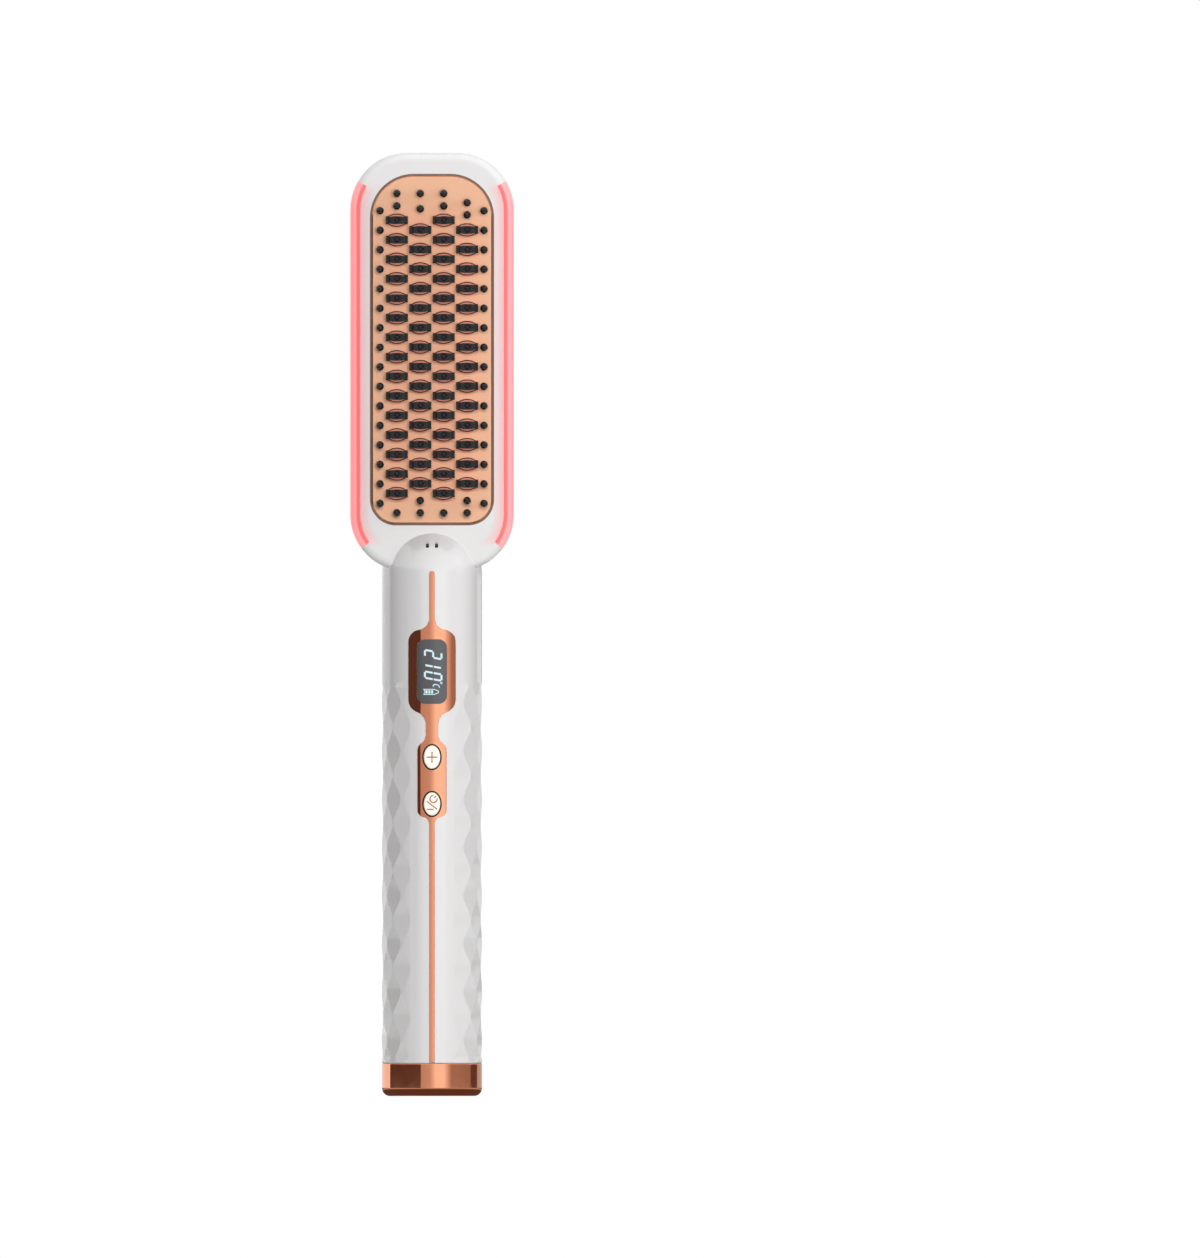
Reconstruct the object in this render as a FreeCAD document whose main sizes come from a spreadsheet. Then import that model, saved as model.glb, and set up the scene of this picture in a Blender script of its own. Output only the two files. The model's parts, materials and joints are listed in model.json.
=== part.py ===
"""Cordless hair straightening brush, as an assembly of separate pieces.

The handle stands along +Z on its end cap, the comb faces -Y and +X is to the right of someone who
faces the comb. The origin is the centre of the end cap's flat underside. All lengths are millimetres.
"""
import FreeCAD, Part
import Sketcher
import math
import os
import re

from FreeCAD import Placement, Rotation, Vector

# Driving sizes, each kept in one cell of the sheet under its own name
SIZES = {
    # handle tube and the dome that ends it in the head
    "handle_radius": 15.4,
    "handle_wall": 2.2,
    "handle_length": 160.5,
    # end cap
    "cap_height": 10.1,
    "cap_round": 2.5,
    "cap_lip_round": 0.4,
    "foot_round": 0.2,
    "cap_wall": 1.2,
    "cap_floor": 2.0,
    "cap_gap": 0.1,
    "cap_post_width": 2.0,
    "cap_post_depth": 1.6,
    "cap_post_height": 9.0,
    # scale pattern of the grip
    "grip_start": 2.1,
    "grip_drop": 34.9,
    "grip_ramp": 1.75,
    "grip_period": 14.83,
    "grip_lead": 4.7,
    "grip_depth": 0.386,
    "grip_ridge": 0.025,
    "grip_columns_count": 28,
    "grip_bare_columns_count": 5,
    # head
    "head_rise": 0.8,
    "head_width": 50.3,
    "head_length": 128.7,
    "head_depth": 18.0,
    "head_corner": 17.5,
    "head_edge_round": 2.6,
    "head_wall": 2.0,
    "rear_wall": 4.0,
    # heating plate
    "plate_inset": 14.65,
    "plate_margin": 6.55,
    "plate_margin_high": 6.95,
    "plate_corner_high": 13.0,
    "plate_corner_low": 7.5,
    "plate_thickness": 3.2,
    "plate_proud": 0.6,
    "plate_edge_round": 0.6,
    "plate_gap": 0.25,
    "plate_seat_gap": 0.05,
    "ledge_thickness": 1.8,
    "ledge_width": 5.5,
    # teeth: oval fin and black tip
    "tooth_columns_count": 4,
    "tooth_pin_gap": 0.94,
    "tooth_row_pitch": 6.0,
    "tooth_margin_low": 9.35,
    "tooth_margin_high": 13.5,
    "fin_column_gap": 1.0,
    "fin_row_gap": 2.3,
    "fin_height": 7.5,
    "fin_seat": 1.2,
    "fin_gap": 0.2,
    "tip_column_gap": 0.4,
    "tip_side_inset": 0.65,
    "tip_tab_length": 0.85,
    "tip_tab_extra": 0.1,
    "tip_oval_run": 1.65,
    "tip_height": 3.5,
    "tip_web_inset": 0.9,
    "tip_web_breadth": 1.2,
    "tip_web_depth": 2.5,
    "tip_web_gap": 0.05,
    "nub_radius": 0.8,
    "nub_sink": 0.3,
    # guard pins
    "pin_radius": 1.16,
    "pin_height": 11.0,
    "pin_seat": 1.5,
    "pin_gap": 0.04,
    "pin_edge": 2.6,
    "pin_margin_low": 6.25,
    # heater behind the plate
    "heater_margin": 3.1,
    "heater_end_margin": 5.3,
    "heater_thickness": 1.5,
    "mica_over_side": 0.2,
    "mica_over_end": 1.0,
    "mica_thickness": 0.5,
    "strap_inset": 1.6,
    "strap_width": 9.0,
    "strap_thickness": 0.8,
    "sensor_radius": 1.2,
    "sensor_length": 8.0,
    "fuse_radius": 1.3,
    "fuse_length": 11.0,
    "sensor_gap": 0.03,
    # light strips and their boards
    "strip_width": 3.0,
    "strip_back": 1.0,
    "strip_gap": 0.06,
    "strip_high_angle": 30.0,
    "strip_low_angle": 36.0,
    "led_board_thickness": 1.0,
    "led_board_width": 5.2,
    "led_board_margin": 9.7,
    "led_edge": 0.675,
    "led_thickness": 0.7,
    "led_gap": 0.1,
    "led_count": 6,
    # rear trim frame and panel
    "frame_inset": 4.9,
    "frame_margin": 5.6,
    "frame_margin_high": 5.4,
    "frame_corner": 11.4,
    "frame_band": 4.7,
    "frame_land": 0.15,
    "frame_drop": 1.0,
    "frame_thickness": 1.2,
    "frame_gap": 0.08,
    # front trim inlay
    "trim_thickness": 1.2,
    "trim_proud": 0.12,
    "trim_gap": 0.08,
    "trim_line_width": 1.64,
    "trim_bezel_width": 14.5,
    "trim_neck_width": 3.74,
    "trim_pod_width": 8.9,
    "trim_foot": 0.3,
    "bezel_inset_high": 0.74,
    "bezel_inset_low": 1.355,
    "bezel_shoulder_high": 7.383,
    "bezel_shoulder_low": 7.864,
    "neck_length": 3.05,
    "pod_shoulder_high": 4.976,
    "pod_inset_high": 1.89,
    "pod_inset_low": 1.846,
    "pod_shoulder_low": 4.334,
    # display
    "lens_side": 2.7,
    "lens_length": 19.75,
    "lens_corner": 2.5,
    "lens_drop": 30.0,
    "lens_gap": 0.06,
    "lens_ledge": 0.6,
    "module_depth": 4.6,
    # buttons and switches
    "button_pitch": 14.4,
    "button_side": 1.9,
    "button_length": 7.2,
    "button_gap": 0.36,
    "button_proud": 0.55,
    "button_edge_round": 0.45,
    "button_flange": 0.9,
    "button_flange_thickness": 1.0,
    "button_float": 0.3,
    "switch_width": 6.0,
    "switch_depth": 3.441,
    "plunger_radius": 1.7,
    "plunger_height": 0.95,
    "plunger_depth": 1.1,
    "plunger_gap": 0.05,
    "plunger_room": 0.8,
    # main board
    "board_side_gap": 0.39,
    "board_thickness": 1.2,
    "board_margin_low": 7.8,
    "board_margin_high": 6.625,
    "rib_width": 3.0,
    "rib_inset": 0.3,
    # battery
    "cell_gap": 0.1,
    "cell_wall_gap": 0.3,
    "cell_board_gap": 0.7,
    "cradle_low": 17.0,
    "cradle_drop": 8.3,
    "cradle_plate": 1.6,
    "cradle_gap": 0.2,
    "cradle_face_gap": 0.5,
    "cradle_slot_width": 14.0,
    # charging port
    "port_width": 8.94,
    "port_breadth": 3.26,
    "port_length": 7.3,
    "port_wall": 0.3,
    "port_recess": 0.6,
    "port_gap": 0.2,
    "tongue_width": 6.69,
    "tongue_thickness": 0.7,
    "tongue_recess": 0.7,
    "port_back_length": 2.0,
    "charge_board_inset": 4.2,
    "charge_board_thickness": 1.2,
    "charge_board_low": 3.0,
    "charge_board_length": 12.0,
    # ion generator, its needles and vents
    "ion_margin": 2.95,
    "ion_length": 10.0,
    "ion_rise": 3.5,
    "ion_gap": 0.3,
    "needle_radius": 0.4,
    "needle_gap": 0.5,
    "vent_width": 0.93,
    "vent_length": 1.6,
    "vent_spacing": 2.8,
    "vent_rise": 8.9,
    # screws
    "screw_radius": 1.0,
    "screw_gap": 0.05,
    "screw_head_radius": 1.9,
    "screw_head_height": 1.2,
    "screw_bite": 1.6,
    "boss_radius": 2.6,
    "boss_bite": 1.5,
    "board_screw_radius": 0.8,
    "board_screw_head_radius": 1.45,
    "board_screw_head_height": 0.9,
    "board_screw_inset": 4.0,
    "board_screw_bite": 2.0,
    # leads to the heater
    "lead_radius": 0.5,
    # how far a cutting shape runs past what it cuts
    "overrun": 1.0,
}

# Sizes worked out from the driving ones
FORMULAS = {
    "bore_radius": "handle_radius - handle_wall",
    "spigot_radius": "handle_radius - cap_wall - cap_gap",
    "grip_low": "cap_height + grip_start",
    "grip_high": "handle_length - grip_drop",
    "head_half": "head_width / 2",
    "head_low": "handle_length + head_rise",
    "head_high": "head_low + head_length",
    "head_front": "-head_depth / 2",
    "head_back": "head_depth / 2",
    "plate_width": "head_width - 2 * plate_margin",
    "plate_length": "head_length - plate_inset - plate_margin_high",
    "plate_half": "plate_width / 2",
    "plate_low": "head_low + plate_inset",
    "plate_high": "plate_low + plate_length",
    "plate_face": "head_front - plate_proud",
    "plate_back": "plate_face + plate_thickness",
    "ledge_front": "plate_back + plate_seat_gap",
    "ledge_back": "ledge_front + ledge_thickness",
    "window_half": "plate_half - ledge_width",
    "window_low": "plate_low + ledge_width",
    "window_high": "plate_high - plate_corner_high + plate_corner_low - ledge_width",
    "window_corner": "plate_corner_low / 2",
    "window_middle": "(window_low + window_high) / 2",
    "heater_width": "2 * (window_half - heater_margin)",
    "heater_length": "window_high - window_low - 2 * heater_end_margin",
    "heater_low": "window_middle - heater_length / 2",
    "mica_width": "heater_width + 2 * mica_over_side",
    "mica_length": "heater_length + 2 * mica_over_end",
    "strap_length": "2 * (plate_half - strap_inset)",
    "cavity_back": "head_back - rear_wall",
    "pin_column": "plate_half - pin_edge",
    "tooth_reach": "pin_column - pin_radius - tooth_pin_gap",
    "tooth_column_pitch": "(2 * tooth_reach + fin_column_gap) / tooth_columns_count",
    "fin_width": "tooth_column_pitch - fin_column_gap",
    "fin_breadth": "tooth_row_pitch - fin_row_gap",
    "fin_top": "plate_face - fin_height",
    "fin_base": "plate_face + fin_seat",
    "tip_top": "fin_top - tip_height",
    "tip_width": "tooth_column_pitch - tip_column_gap",
    "tip_breadth": "fin_breadth - 2 * tip_side_inset",
    "tip_tab_breadth": "tip_breadth + tip_tab_extra",
    "tip_barrel_width": "tip_width - 2 * tip_tab_length",
    "tip_barrel_oval": "tip_barrel_width + 2 * tip_oval_run",
    "tip_web_width": "fin_width - 2 * tip_web_inset",
    "screw_column": "plate_half - ledge_width / 2",
    "heater_back": "plate_back + heater_thickness",
    "mica_back": "heater_back + mica_thickness",
    "strap_back": "mica_back + strap_thickness",
    "strip_inner": "head_half - strip_width",
    "frame_width": "head_width - 2 * frame_margin",
    "frame_length": "head_length - frame_inset - frame_margin_high",
    "frame_half": "frame_width / 2",
    "frame_low": "head_low + frame_inset",
    "frame_high": "frame_low + frame_length",
    "panel_face": "head_back - frame_drop",
    "frame_floor": "panel_face - frame_thickness",
    "frame_turn": "(frame_corner - frame_band / 2) * sqrt(0.5)",
    "boss_column": "frame_half - frame_corner + frame_turn",
    "boss_row": "frame_low + frame_corner - frame_turn",
    "screw_seat": "frame_floor - screw_head_height - screw_gap",
    "trim_radius": "handle_radius + trim_proud",
    "trim_inner": "handle_radius - trim_thickness",
    "trim_floor": "trim_inner - trim_gap",
    "lens_width": "trim_bezel_width - 2 * lens_side",
    "lens_low": "handle_length - lens_drop - lens_length / 2",
    "lens_high": "handle_length - lens_drop + lens_length / 2",
    "bezel_high": "lens_high - bezel_inset_high",
    "bezel_low": "lens_low + bezel_inset_low",
    "line_high": "bezel_high + bezel_shoulder_high",
    "neck_high": "bezel_low - bezel_shoulder_low",
    "neck_low": "neck_high - neck_length",
    "pod_high": "neck_low - pod_shoulder_high",
    "plus_height": "pod_high - pod_inset_high",
    "power_height": "plus_height - button_pitch",
    "pod_low": "power_height - pod_inset_low",
    "line_low": "pod_low - pod_shoulder_low",
    "button_width": "trim_pod_width - 2 * button_side",
    "button_face": "-(trim_radius + button_proud)",
    "wall_inside": "-bore_radius / 2",
    "flange_half": "button_width / 2 + button_flange",
    "flange_length_half": "button_length / 2 + button_flange",
    "flange_face": "button_float - sqrt(bore_radius ^ 2 - flange_half ^ 2)",
    "flange_back": "flange_face + button_flange_thickness",
    "plunger_face": "flange_back + plunger_gap",
    "switch_face": "plunger_face + plunger_height",
    "plunger_back": "switch_face + plunger_depth",
    "board_face": "switch_face + switch_depth",
    "board_back": "board_face + board_thickness",
    "board_width": "2 * (sqrt(bore_radius ^ 2 - board_face ^ 2) - board_side_gap)",
    "board_low": "power_height - board_margin_low",
    "board_high": "lens_high + board_margin_high",
    "cell_radius": "(bore_radius - cell_wall_gap - cell_board_gap - board_back) / 2",
    "cell_axis": "bore_radius - cell_wall_gap - cell_radius",
    "cell_length": "(handle_length - cradle_drop - cradle_low - 3 * cradle_plate - 4 * cell_gap) / 2",
    "rib_outer": "board_width / 2 - rib_inset",
    "rib_inner": "rib_outer - rib_width",
    "rib_middle": "rib_outer - rib_width / 2",
    "cradle_radius": "bore_radius - cradle_gap",
    "cradle_face": "cell_axis - cell_radius + cradle_face_gap",
    "lower_cell_low": "cradle_low + cradle_plate + cell_gap",
    "upper_cell_low": "lower_cell_low + cell_length + cradle_plate + 2 * cell_gap",
    "cradle_high": "upper_cell_low + cell_length + cell_gap + cradle_plate",
    "charge_board_width": "2 * (bore_radius - charge_board_inset)",
    "port_low": "port_recess",
    "port_high": "port_recess + port_length",
    "port_corner": "port_breadth / 2 - port_wall",
    "ion_width": "2 * (boss_column - boss_radius - ion_margin)",
    "ion_low": "head_low + ion_rise",
    "ion_face": "ledge_back + ion_gap",
    "vent_height": "handle_length + vent_rise",
    "needle_tip": "needle_gap - sqrt(bore_radius ^ 2 - vent_rise ^ 2)",
    "led_board_length": "head_length - 2 * head_corner - led_board_margin",
    "led_width": "-strip_back - ledge_back - 2 * led_edge",
    "led_face": "strip_inner - led_gap",
    "led_board_face": "led_face - led_thickness",
    "led_board_front": "ledge_back + strip_gap",
}

# Pins beyond each column of teeth, as shares of the row pitch past the column's last tooth
HIGH_PIN_SHARES = ((0.73, 1.37), (1.08, 1.87), (0.73, 1.37), (0.77, 1.40))
LOW_PIN_SHARES = ((1.0,), (0.87, 1.5), (1.0,), (0.87, 1.5))

# Rows of side pins that a strap and its screws lie just above, as shares of the way up the rows
STRAP_ROW_SHARES = (0.2, 0.8)

# Points on each wave of the grip's ridge lines, and how many of them one facet runs along
GRIP_POINTS_PER_WAVE = 6
GRIP_POINTS_PER_FACET = 6

# How deep a rib of the main board is rooted in the handle's wall, as a share of the wall
RIB_ROOT_SHARE = 0.25

# How much of the shorter run at a lead's bend its arc takes up
LEAD_BEND_SHARE = 0.45

# How closely a face has to look along a direction to count as facing it
FACING_SHARE = 0.9

# How far round, in columns, the outermost facets run before they leave the handle's round
GRIP_OVERSHOOT_SHARE = 2.0

doc = FreeCAD.newDocument("hair_straightening_brush")
sheet = doc.addObject("Spreadsheet::Sheet", "sizes")
for row, (alias, value) in enumerate(SIZES.items(), start=1):
    sheet.set(f"A{row}", alias)
    sheet.set(f"B{row}", str(value))
    sheet.setAlias(f"B{row}", alias)
doc.recompute()

pieces = []


def spell(text):
    """Writes a sum of size names as an expression on the sheet's cells."""

    def word(match):
        name = match.group(0)
        if name in FORMULAS:
            return "(" + spell(FORMULAS[name]) + ")"
        return "sizes." + name if name in SIZES else name

    return re.sub(r"[a-z_]+", word, text)


def number(text):
    """The value of a sum of size names."""
    return float(sheet.evalExpression(spell(text)))


def bind(thing, path, text):
    """Ties one property of an object to the sheet."""
    thing.setExpression(path, spell(text))


def piece(label, thing):
    """Counts an object as a sub-part of the brush, under the label that names its file."""
    thing.Label = label
    pieces.append(thing)
    return thing


# Building blocks: each takes its sizes and places as sums of size names


def place(thing, x="0", y="0", z="0", turn=Rotation()):
    """Puts an object at a point, turned about its own origin."""
    thing.Placement = Placement(Vector(), turn)
    for path, text in zip(("x", "y", "z"), (x, y, z)):
        bind(thing, "Placement.Base." + path, text)
    return thing


def block(name, x, y, z):
    """A box between two values on each axis."""
    thing = doc.addObject("Part::Box", name)
    for path, (low, high) in zip(("Length", "Width", "Height"), (x, y, z)):
        bind(thing, path, f"({high}) - ({low})")
    return place(thing, x[0], y[0], z[0])


ALONG_Y = Rotation(Vector(0, 0, 1), Vector(0, 1, 0))
FACING_FRONT = Rotation(Vector(1, 0, 0), 90)


def rod_up(name, radius, low, high, x="0", y="0"):
    """A round rod along Z."""
    thing = doc.addObject("Part::Cylinder", name)
    bind(thing, "Radius", radius)
    bind(thing, "Height", f"({high}) - ({low})")
    return place(thing, x, y, low)


def rod_back(name, radius, front, back, x="0", z="0"):
    """A round rod along Y, from its front end to its back end."""
    thing = doc.addObject("Part::Cylinder", name)
    bind(thing, "Radius", radius)
    bind(thing, "Height", f"({back}) - ({front})")
    return place(thing, x, front, z, ALONG_Y)


def ball(name, radius, x="0", y="0", z="0"):
    """A round ball."""
    thing = doc.addObject("Part::Sphere", name)
    bind(thing, "Radius", radius)
    return place(thing, x, y, z)


def fuse(name, *things):
    """Several solids joined to one."""
    thing = doc.addObject("Part::MultiFuse", name)
    thing.Shapes = list(things)
    return thing


def common(name, *things):
    """What several solids share."""
    thing = doc.addObject("Part::MultiCommon", name)
    thing.Shapes = list(things)
    return thing


def cut(name, base, *tools):
    """One solid with others taken away."""
    thing = doc.addObject("Part::Cut", name)
    thing.Base = base
    thing.Tool = tools[0] if len(tools) == 1 else fuse(name + "_tools", *tools)
    return thing


def tie(sketch, kind, element, text):
    """Ties a point's distance from the sketch's origin, whichever side of it the point is on."""
    value = number(text)
    ends = (-1, 1, *element) if value > 0 else (*element, -1, 1)
    index = sketch.addConstraint(Sketcher.Constraint(kind, *ends, abs(value)))
    bind(sketch, f"Constraints[{index}]", text if value > 0 else f"-({text})")


def rounded_outline(sketch, half_width, low, high, corner_low, corner_high):
    """A rectangle with rounded corners, centred on the sketch's vertical axis."""
    half, bottom, top = number(half_width), number(low), number(high)
    radii = [number(corner_low)] * 2 + [number(corner_high)] * 2
    corners = ((-half, bottom), (half, bottom), (half, top), (-half, top))
    steps = ((1, 0), (0, 1), (-1, 0), (0, -1))
    at = [Vector(x, z, 0) for x, z in corners]
    along = [Vector(x, z, 0) for x, z in steps]
    lines = []
    arcs = []
    for k in range(4):
        start = at[k] + along[k] * radii[k]
        end = at[(k + 1) % 4] - along[k] * radii[(k + 1) % 4]
        lines.append(sketch.addGeometry(Part.LineSegment(start, end)))
    for k in range(4):
        centre = at[k] + (along[k] - along[k - 1]) * radii[k]
        turn = math.pi + k * math.pi / 2
        circle = Part.Circle(centre, Vector(0, 0, 1), radii[k])
        arcs.append(sketch.addGeometry(Part.ArcOfCircle(circle, turn, turn + math.pi / 2)))
    for k in range(4):
        sketch.addConstraint(Sketcher.Constraint("Tangent", arcs[k], 2, lines[k], 1))
        sketch.addConstraint(Sketcher.Constraint("Tangent", lines[k - 1], 2, arcs[k], 1))
        direction = "Vertical" if k % 2 else "Horizontal"
        sketch.addConstraint(Sketcher.Constraint(direction, lines[k]))
    for first, second, radius in ((0, 1, corner_low), (2, 3, corner_high)):
        index = sketch.addConstraint(Sketcher.Constraint("Radius", arcs[first], number(radius)))
        bind(sketch, f"Constraints[{index}]", radius)
        sketch.addConstraint(Sketcher.Constraint("Equal", arcs[first], arcs[second]))
    tie(sketch, "DistanceY", (lines[0], 1), low)
    tie(sketch, "DistanceX", (lines[1], 1), half_width)
    tie(sketch, "DistanceY", (lines[2], 1), high)
    tie(sketch, "DistanceX", (lines[3], 1), f"-({half_width})")


def origin_plane(body, role):
    """One of a body's own three planes."""
    return next(plane for plane in body.Origin.OriginFeatures if plane.Role == role)


def sketch_on(body, name, role, offset="0"):
    """An empty sketch on one of a body's planes, moved along the plane's normal."""
    sketch = body.newObject("Sketcher::SketchObject", name)
    sketch.AttachmentSupport = [(origin_plane(body, role), "")]
    sketch.MapMode = "FlatFace"
    bind(sketch, "AttachmentOffset.Base.z", offset)
    return sketch


def pad_from(body, sketch, length):
    """Raises a sketch into a solid."""
    pad = body.newObject("PartDesign::Pad", sketch.Name + "_pad")
    pad.Profile = sketch
    bind(pad, "Length", length)
    body.Tip = pad
    return pad


def slab(name, half_width, low, high, corner_low, corner_high, front, back):
    """A plate with rounded corners that faces front, from its back face to its front face."""
    body = doc.addObject("PartDesign::Body", name)
    sketch = sketch_on(body, name + "_outline", "XZ_Plane", f"-({back})")
    rounded_outline(sketch, half_width, low, high, corner_low, corner_high)
    pad_from(body, sketch, f"({back}) - ({front})")
    return body


def disc(name, radius, low, high):
    """A round plate raised from a circle."""
    body = doc.addObject("PartDesign::Body", name)
    sketch = sketch_on(body, name + "_outline", "XY_Plane", low)
    circle = sketch.addGeometry(Part.Circle(Vector(), Vector(0, 0, 1), number(radius)))
    sketch.addConstraint(Sketcher.Constraint("Coincident", circle, 3, -1, 1))
    index = sketch.addConstraint(Sketcher.Constraint("Radius", circle, number(radius)))
    bind(sketch, f"Constraints[{index}]", radius)
    pad_from(body, sketch, f"({high}) - ({low})")
    return body


def round_faces(body, radius, *normals):
    """Rounds every edge of the flat faces of a body that look along the given directions."""
    doc.recompute()
    base = body.Tip
    names = []
    for index, face in enumerate(base.Shape.Faces, start=1):
        flat = isinstance(face.Surface, Part.Plane)
        if flat and any(face.normalAt(0, 0).dot(normal) > FACING_SHARE for normal in normals):
            names.append(f"Face{index}")
    fillet = body.newObject("PartDesign::Fillet", body.Name + "_round")
    fillet.Base = (base, names)
    bind(fillet, "Radius", radius)
    body.Tip = fillet
    return body


def oval(name, half_x, half_z, front, back, x="0", z="0"):
    """An oval bar along Y."""
    ring = doc.addObject("Part::Ellipse", name + "_ring")
    upright = number(half_z) > number(half_x)
    bind(ring, "MajorRadius", half_z if upright else half_x)
    bind(ring, "MinorRadius", half_x if upright else half_z)
    quarter = Rotation(Vector(0, 0, 1), 90 if upright else 0)
    place(ring, x, back, z, FACING_FRONT.multiply(quarter))
    bar = doc.addObject("Part::Extrusion", name)
    bar.Base = ring
    bar.DirMode = "Custom"
    bar.Dir = Vector(0, -1, 0)
    bar.Solid = True
    bind(bar, "LengthFwd", f"({back}) - ({front})")
    return bar


def built(name, shape):
    """An object whose shape is worked out here."""
    thing = doc.addObject("Part::Feature", name)
    thing.Shape = shape
    thing.Placement = Placement()
    return thing


def copies(name, master, places):
    """Separate copies of one solid, moved to each place."""
    doc.recompute()
    shapes = [master.Shape.translated(Vector(x, 0, z)) for x, z in places]
    return built(name, Part.makeCompound(shapes))


# Places of the teeth and pins on the plate


def tooth_rows():
    """How many teeth fit up the plate in its fuller columns."""
    room = number("plate_length - tooth_margin_low - tooth_margin_high")
    return int(room / number("tooth_row_pitch")) + 1


def tooth_columns():
    """Columns of teeth as (x, lowest z, highest z), with every other column set half a row in."""
    pitch = number("tooth_row_pitch")
    base = number("plate_low + tooth_margin_low")
    top = base + (tooth_rows() - 1) * pitch
    columns = []
    count = int(number("tooth_columns_count"))
    for k in range(count):
        x = (k - (count - 1) / 2) * number("tooth_column_pitch")
        inset = k % 2 * pitch / 2
        columns.append((x, base + inset, top - inset))
    return columns


def tooth_places():
    """Every tooth's place on the plate."""
    pitch = number("tooth_row_pitch")
    places = []
    for x, low, high in tooth_columns():
        places += [(x, low + row * pitch) for row in range(round((high - low) / pitch) + 1)]
    return places


def side_pin_heights():
    """Heights of the pins in the two side columns."""
    first = number("plate_low + pin_margin_low")
    return [first + row * number("tooth_row_pitch") for row in range(tooth_rows() + 1)]


def pin_places():
    """Every guard pin's place: both sides, then beyond the ends of each column of teeth."""
    pitch = number("tooth_row_pitch")
    side = number("pin_column")
    places = [(x, z) for x in (-side, side) for z in side_pin_heights()]
    for (x, low, high), above, below in zip(tooth_columns(), HIGH_PIN_SHARES, LOW_PIN_SHARES):
        places += [(x, high + share * pitch) for share in above]
        places += [(x, low - share * pitch) for share in below]
    return places


def plate_screw_places():
    """Four screws through the ledge, half a row above chosen side pins."""
    column = number("screw_column")
    heights = side_pin_heights()
    half_row = number("tooth_row_pitch") / 2
    rows = [round(share * (len(heights) - 1)) for share in STRAP_ROW_SHARES]
    return [(x, heights[row] + half_row) for row in rows for x in (-column, column)]


# The housing's outer form: a flat rounded head on a round handle with a domed end


def grip_depth(column, z):
    """Depth of one column's facet below the handle's round, a wave that alternates by column."""
    deep, ridge = number("grip_depth"), number("grip_ridge")
    phase = 2 * math.pi * (z - number("grip_high - grip_lead")) / number("grip_period")
    swing = math.cos(phase) * (-1 if column % 2 else 1)
    return (deep + ridge) / 2 + swing * (deep - ridge) / 2


def grip_shape():
    """The grip between its ends: facets that are flat across, deepening and shallowing in turn.

    Neighbouring facets meet in ridge lines that wave from side to side, which gives the scales. The
    columns go round the back, and the outermost facets run out past the handle's round at the front.
    Beyond each end the facets slope out to the handle's round.
    """
    radius = number("handle_radius")
    low, high = number("grip_low"), number("grip_high")
    step = 2 * math.pi / number("grip_columns_count")
    reach = (int(number("grip_columns_count - grip_bare_columns_count")) - 1) // 2
    waves = (high - low) / number("grip_period")
    spans = math.ceil(waves * GRIP_POINTS_PER_WAVE)
    heights = [low + (high - low) * k / spans for k in range(spans + 1)]

    def ridge_point(column, neighbour, z, share):
        """Where one facet ends, towards its neighbour or out past the handle, at a share of its depth."""
        flat = radius - share * grip_depth(column, z)
        if neighbour is None:
            turn = math.copysign(GRIP_OVERSHOOT_SHARE * step, column)
        else:
            other = radius - share * grip_depth(neighbour, z)
            turn = math.atan((other / flat - math.cos(step)) / math.sin(step))
        angle = math.pi / 2 + column * step + turn
        out = flat / math.cos(turn)
        return Vector(out * math.cos(angle), out * math.sin(angle), z)

    def ridge(column, neighbour):
        """The curve that two facets meet in."""
        curve = Part.BSplineCurve()
        points = [ridge_point(column, neighbour, z, 1) for z in heights]
        curve.interpolate(Points=points, Parameters=heights)
        return curve

    pairs = [(-reach, None)]
    pairs += [(column, column + 1) for column in range(-reach, reach)]
    pairs += [(reach, None)]
    lines = [ridge(*pair) for pair in pairs]
    cuts = heights[:-1:GRIP_POINTS_PER_FACET] + heights[-1:]
    bands = [[line.toShape(below, above) for line in lines] for below, above in zip(cuts, cuts[1:])]
    faces = []
    for z, end in ((low, low - number("grip_ramp")), (high, high + number("grip_ramp"))):
        ring = [ridge_point(*pair, end, 0) for pair in pairs]
        bands.append([Part.makeLine(line.value(z), point) for line, point in zip(lines, ring)])
        faces.append(Part.Face(Part.makePolygon(ring + ring[:1])))
    for edges in bands:
        faces += [Part.makeRuledSurface(a, b) for a, b in zip(edges, edges[1:] + edges[:1])]
    shell = Part.makeShell(faces)
    shell.sewShape()
    star = Part.makeSolid(shell)
    if star.Volume < 0:
        star.reverse()
    return star


def head_slab(name, gap):
    """The head's flat form with its rounded rim, grown by a gap."""
    half = f"head_half + {gap}"
    low, high = f"head_low - {gap}", f"head_high + {gap}"
    corner = f"head_corner + {gap}"
    body = slab(name, half, low, high, corner, corner, "head_front", "head_back")
    return round_faces(body, "head_edge_round", Vector(0, -1, 0), Vector(0, 1, 0))


head = head_slab("head_form", "0")
grip_ends = ("grip_low - grip_ramp", "grip_high + grip_ramp")
grip_round = rod_up("grip_round", "handle_radius", *grip_ends)
grip = common("grip", built("grip_facets", grip_shape()), grip_round)
dome = ball("dome", "handle_radius", z="handle_length")
neck = rod_up("neck", "handle_radius", grip_ends[1], "handle_length")
foot = disc("foot", "handle_radius", "cap_height", grip_ends[0])
round_faces(foot, "foot_round", Vector(0, 0, -1))
spigot = rod_up("spigot", "spigot_radius", "cap_floor + cap_gap", "cap_height")
outer = fuse("housing_form", head, dome, neck, grip, foot, spigot)

# Hollows of the housing

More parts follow.
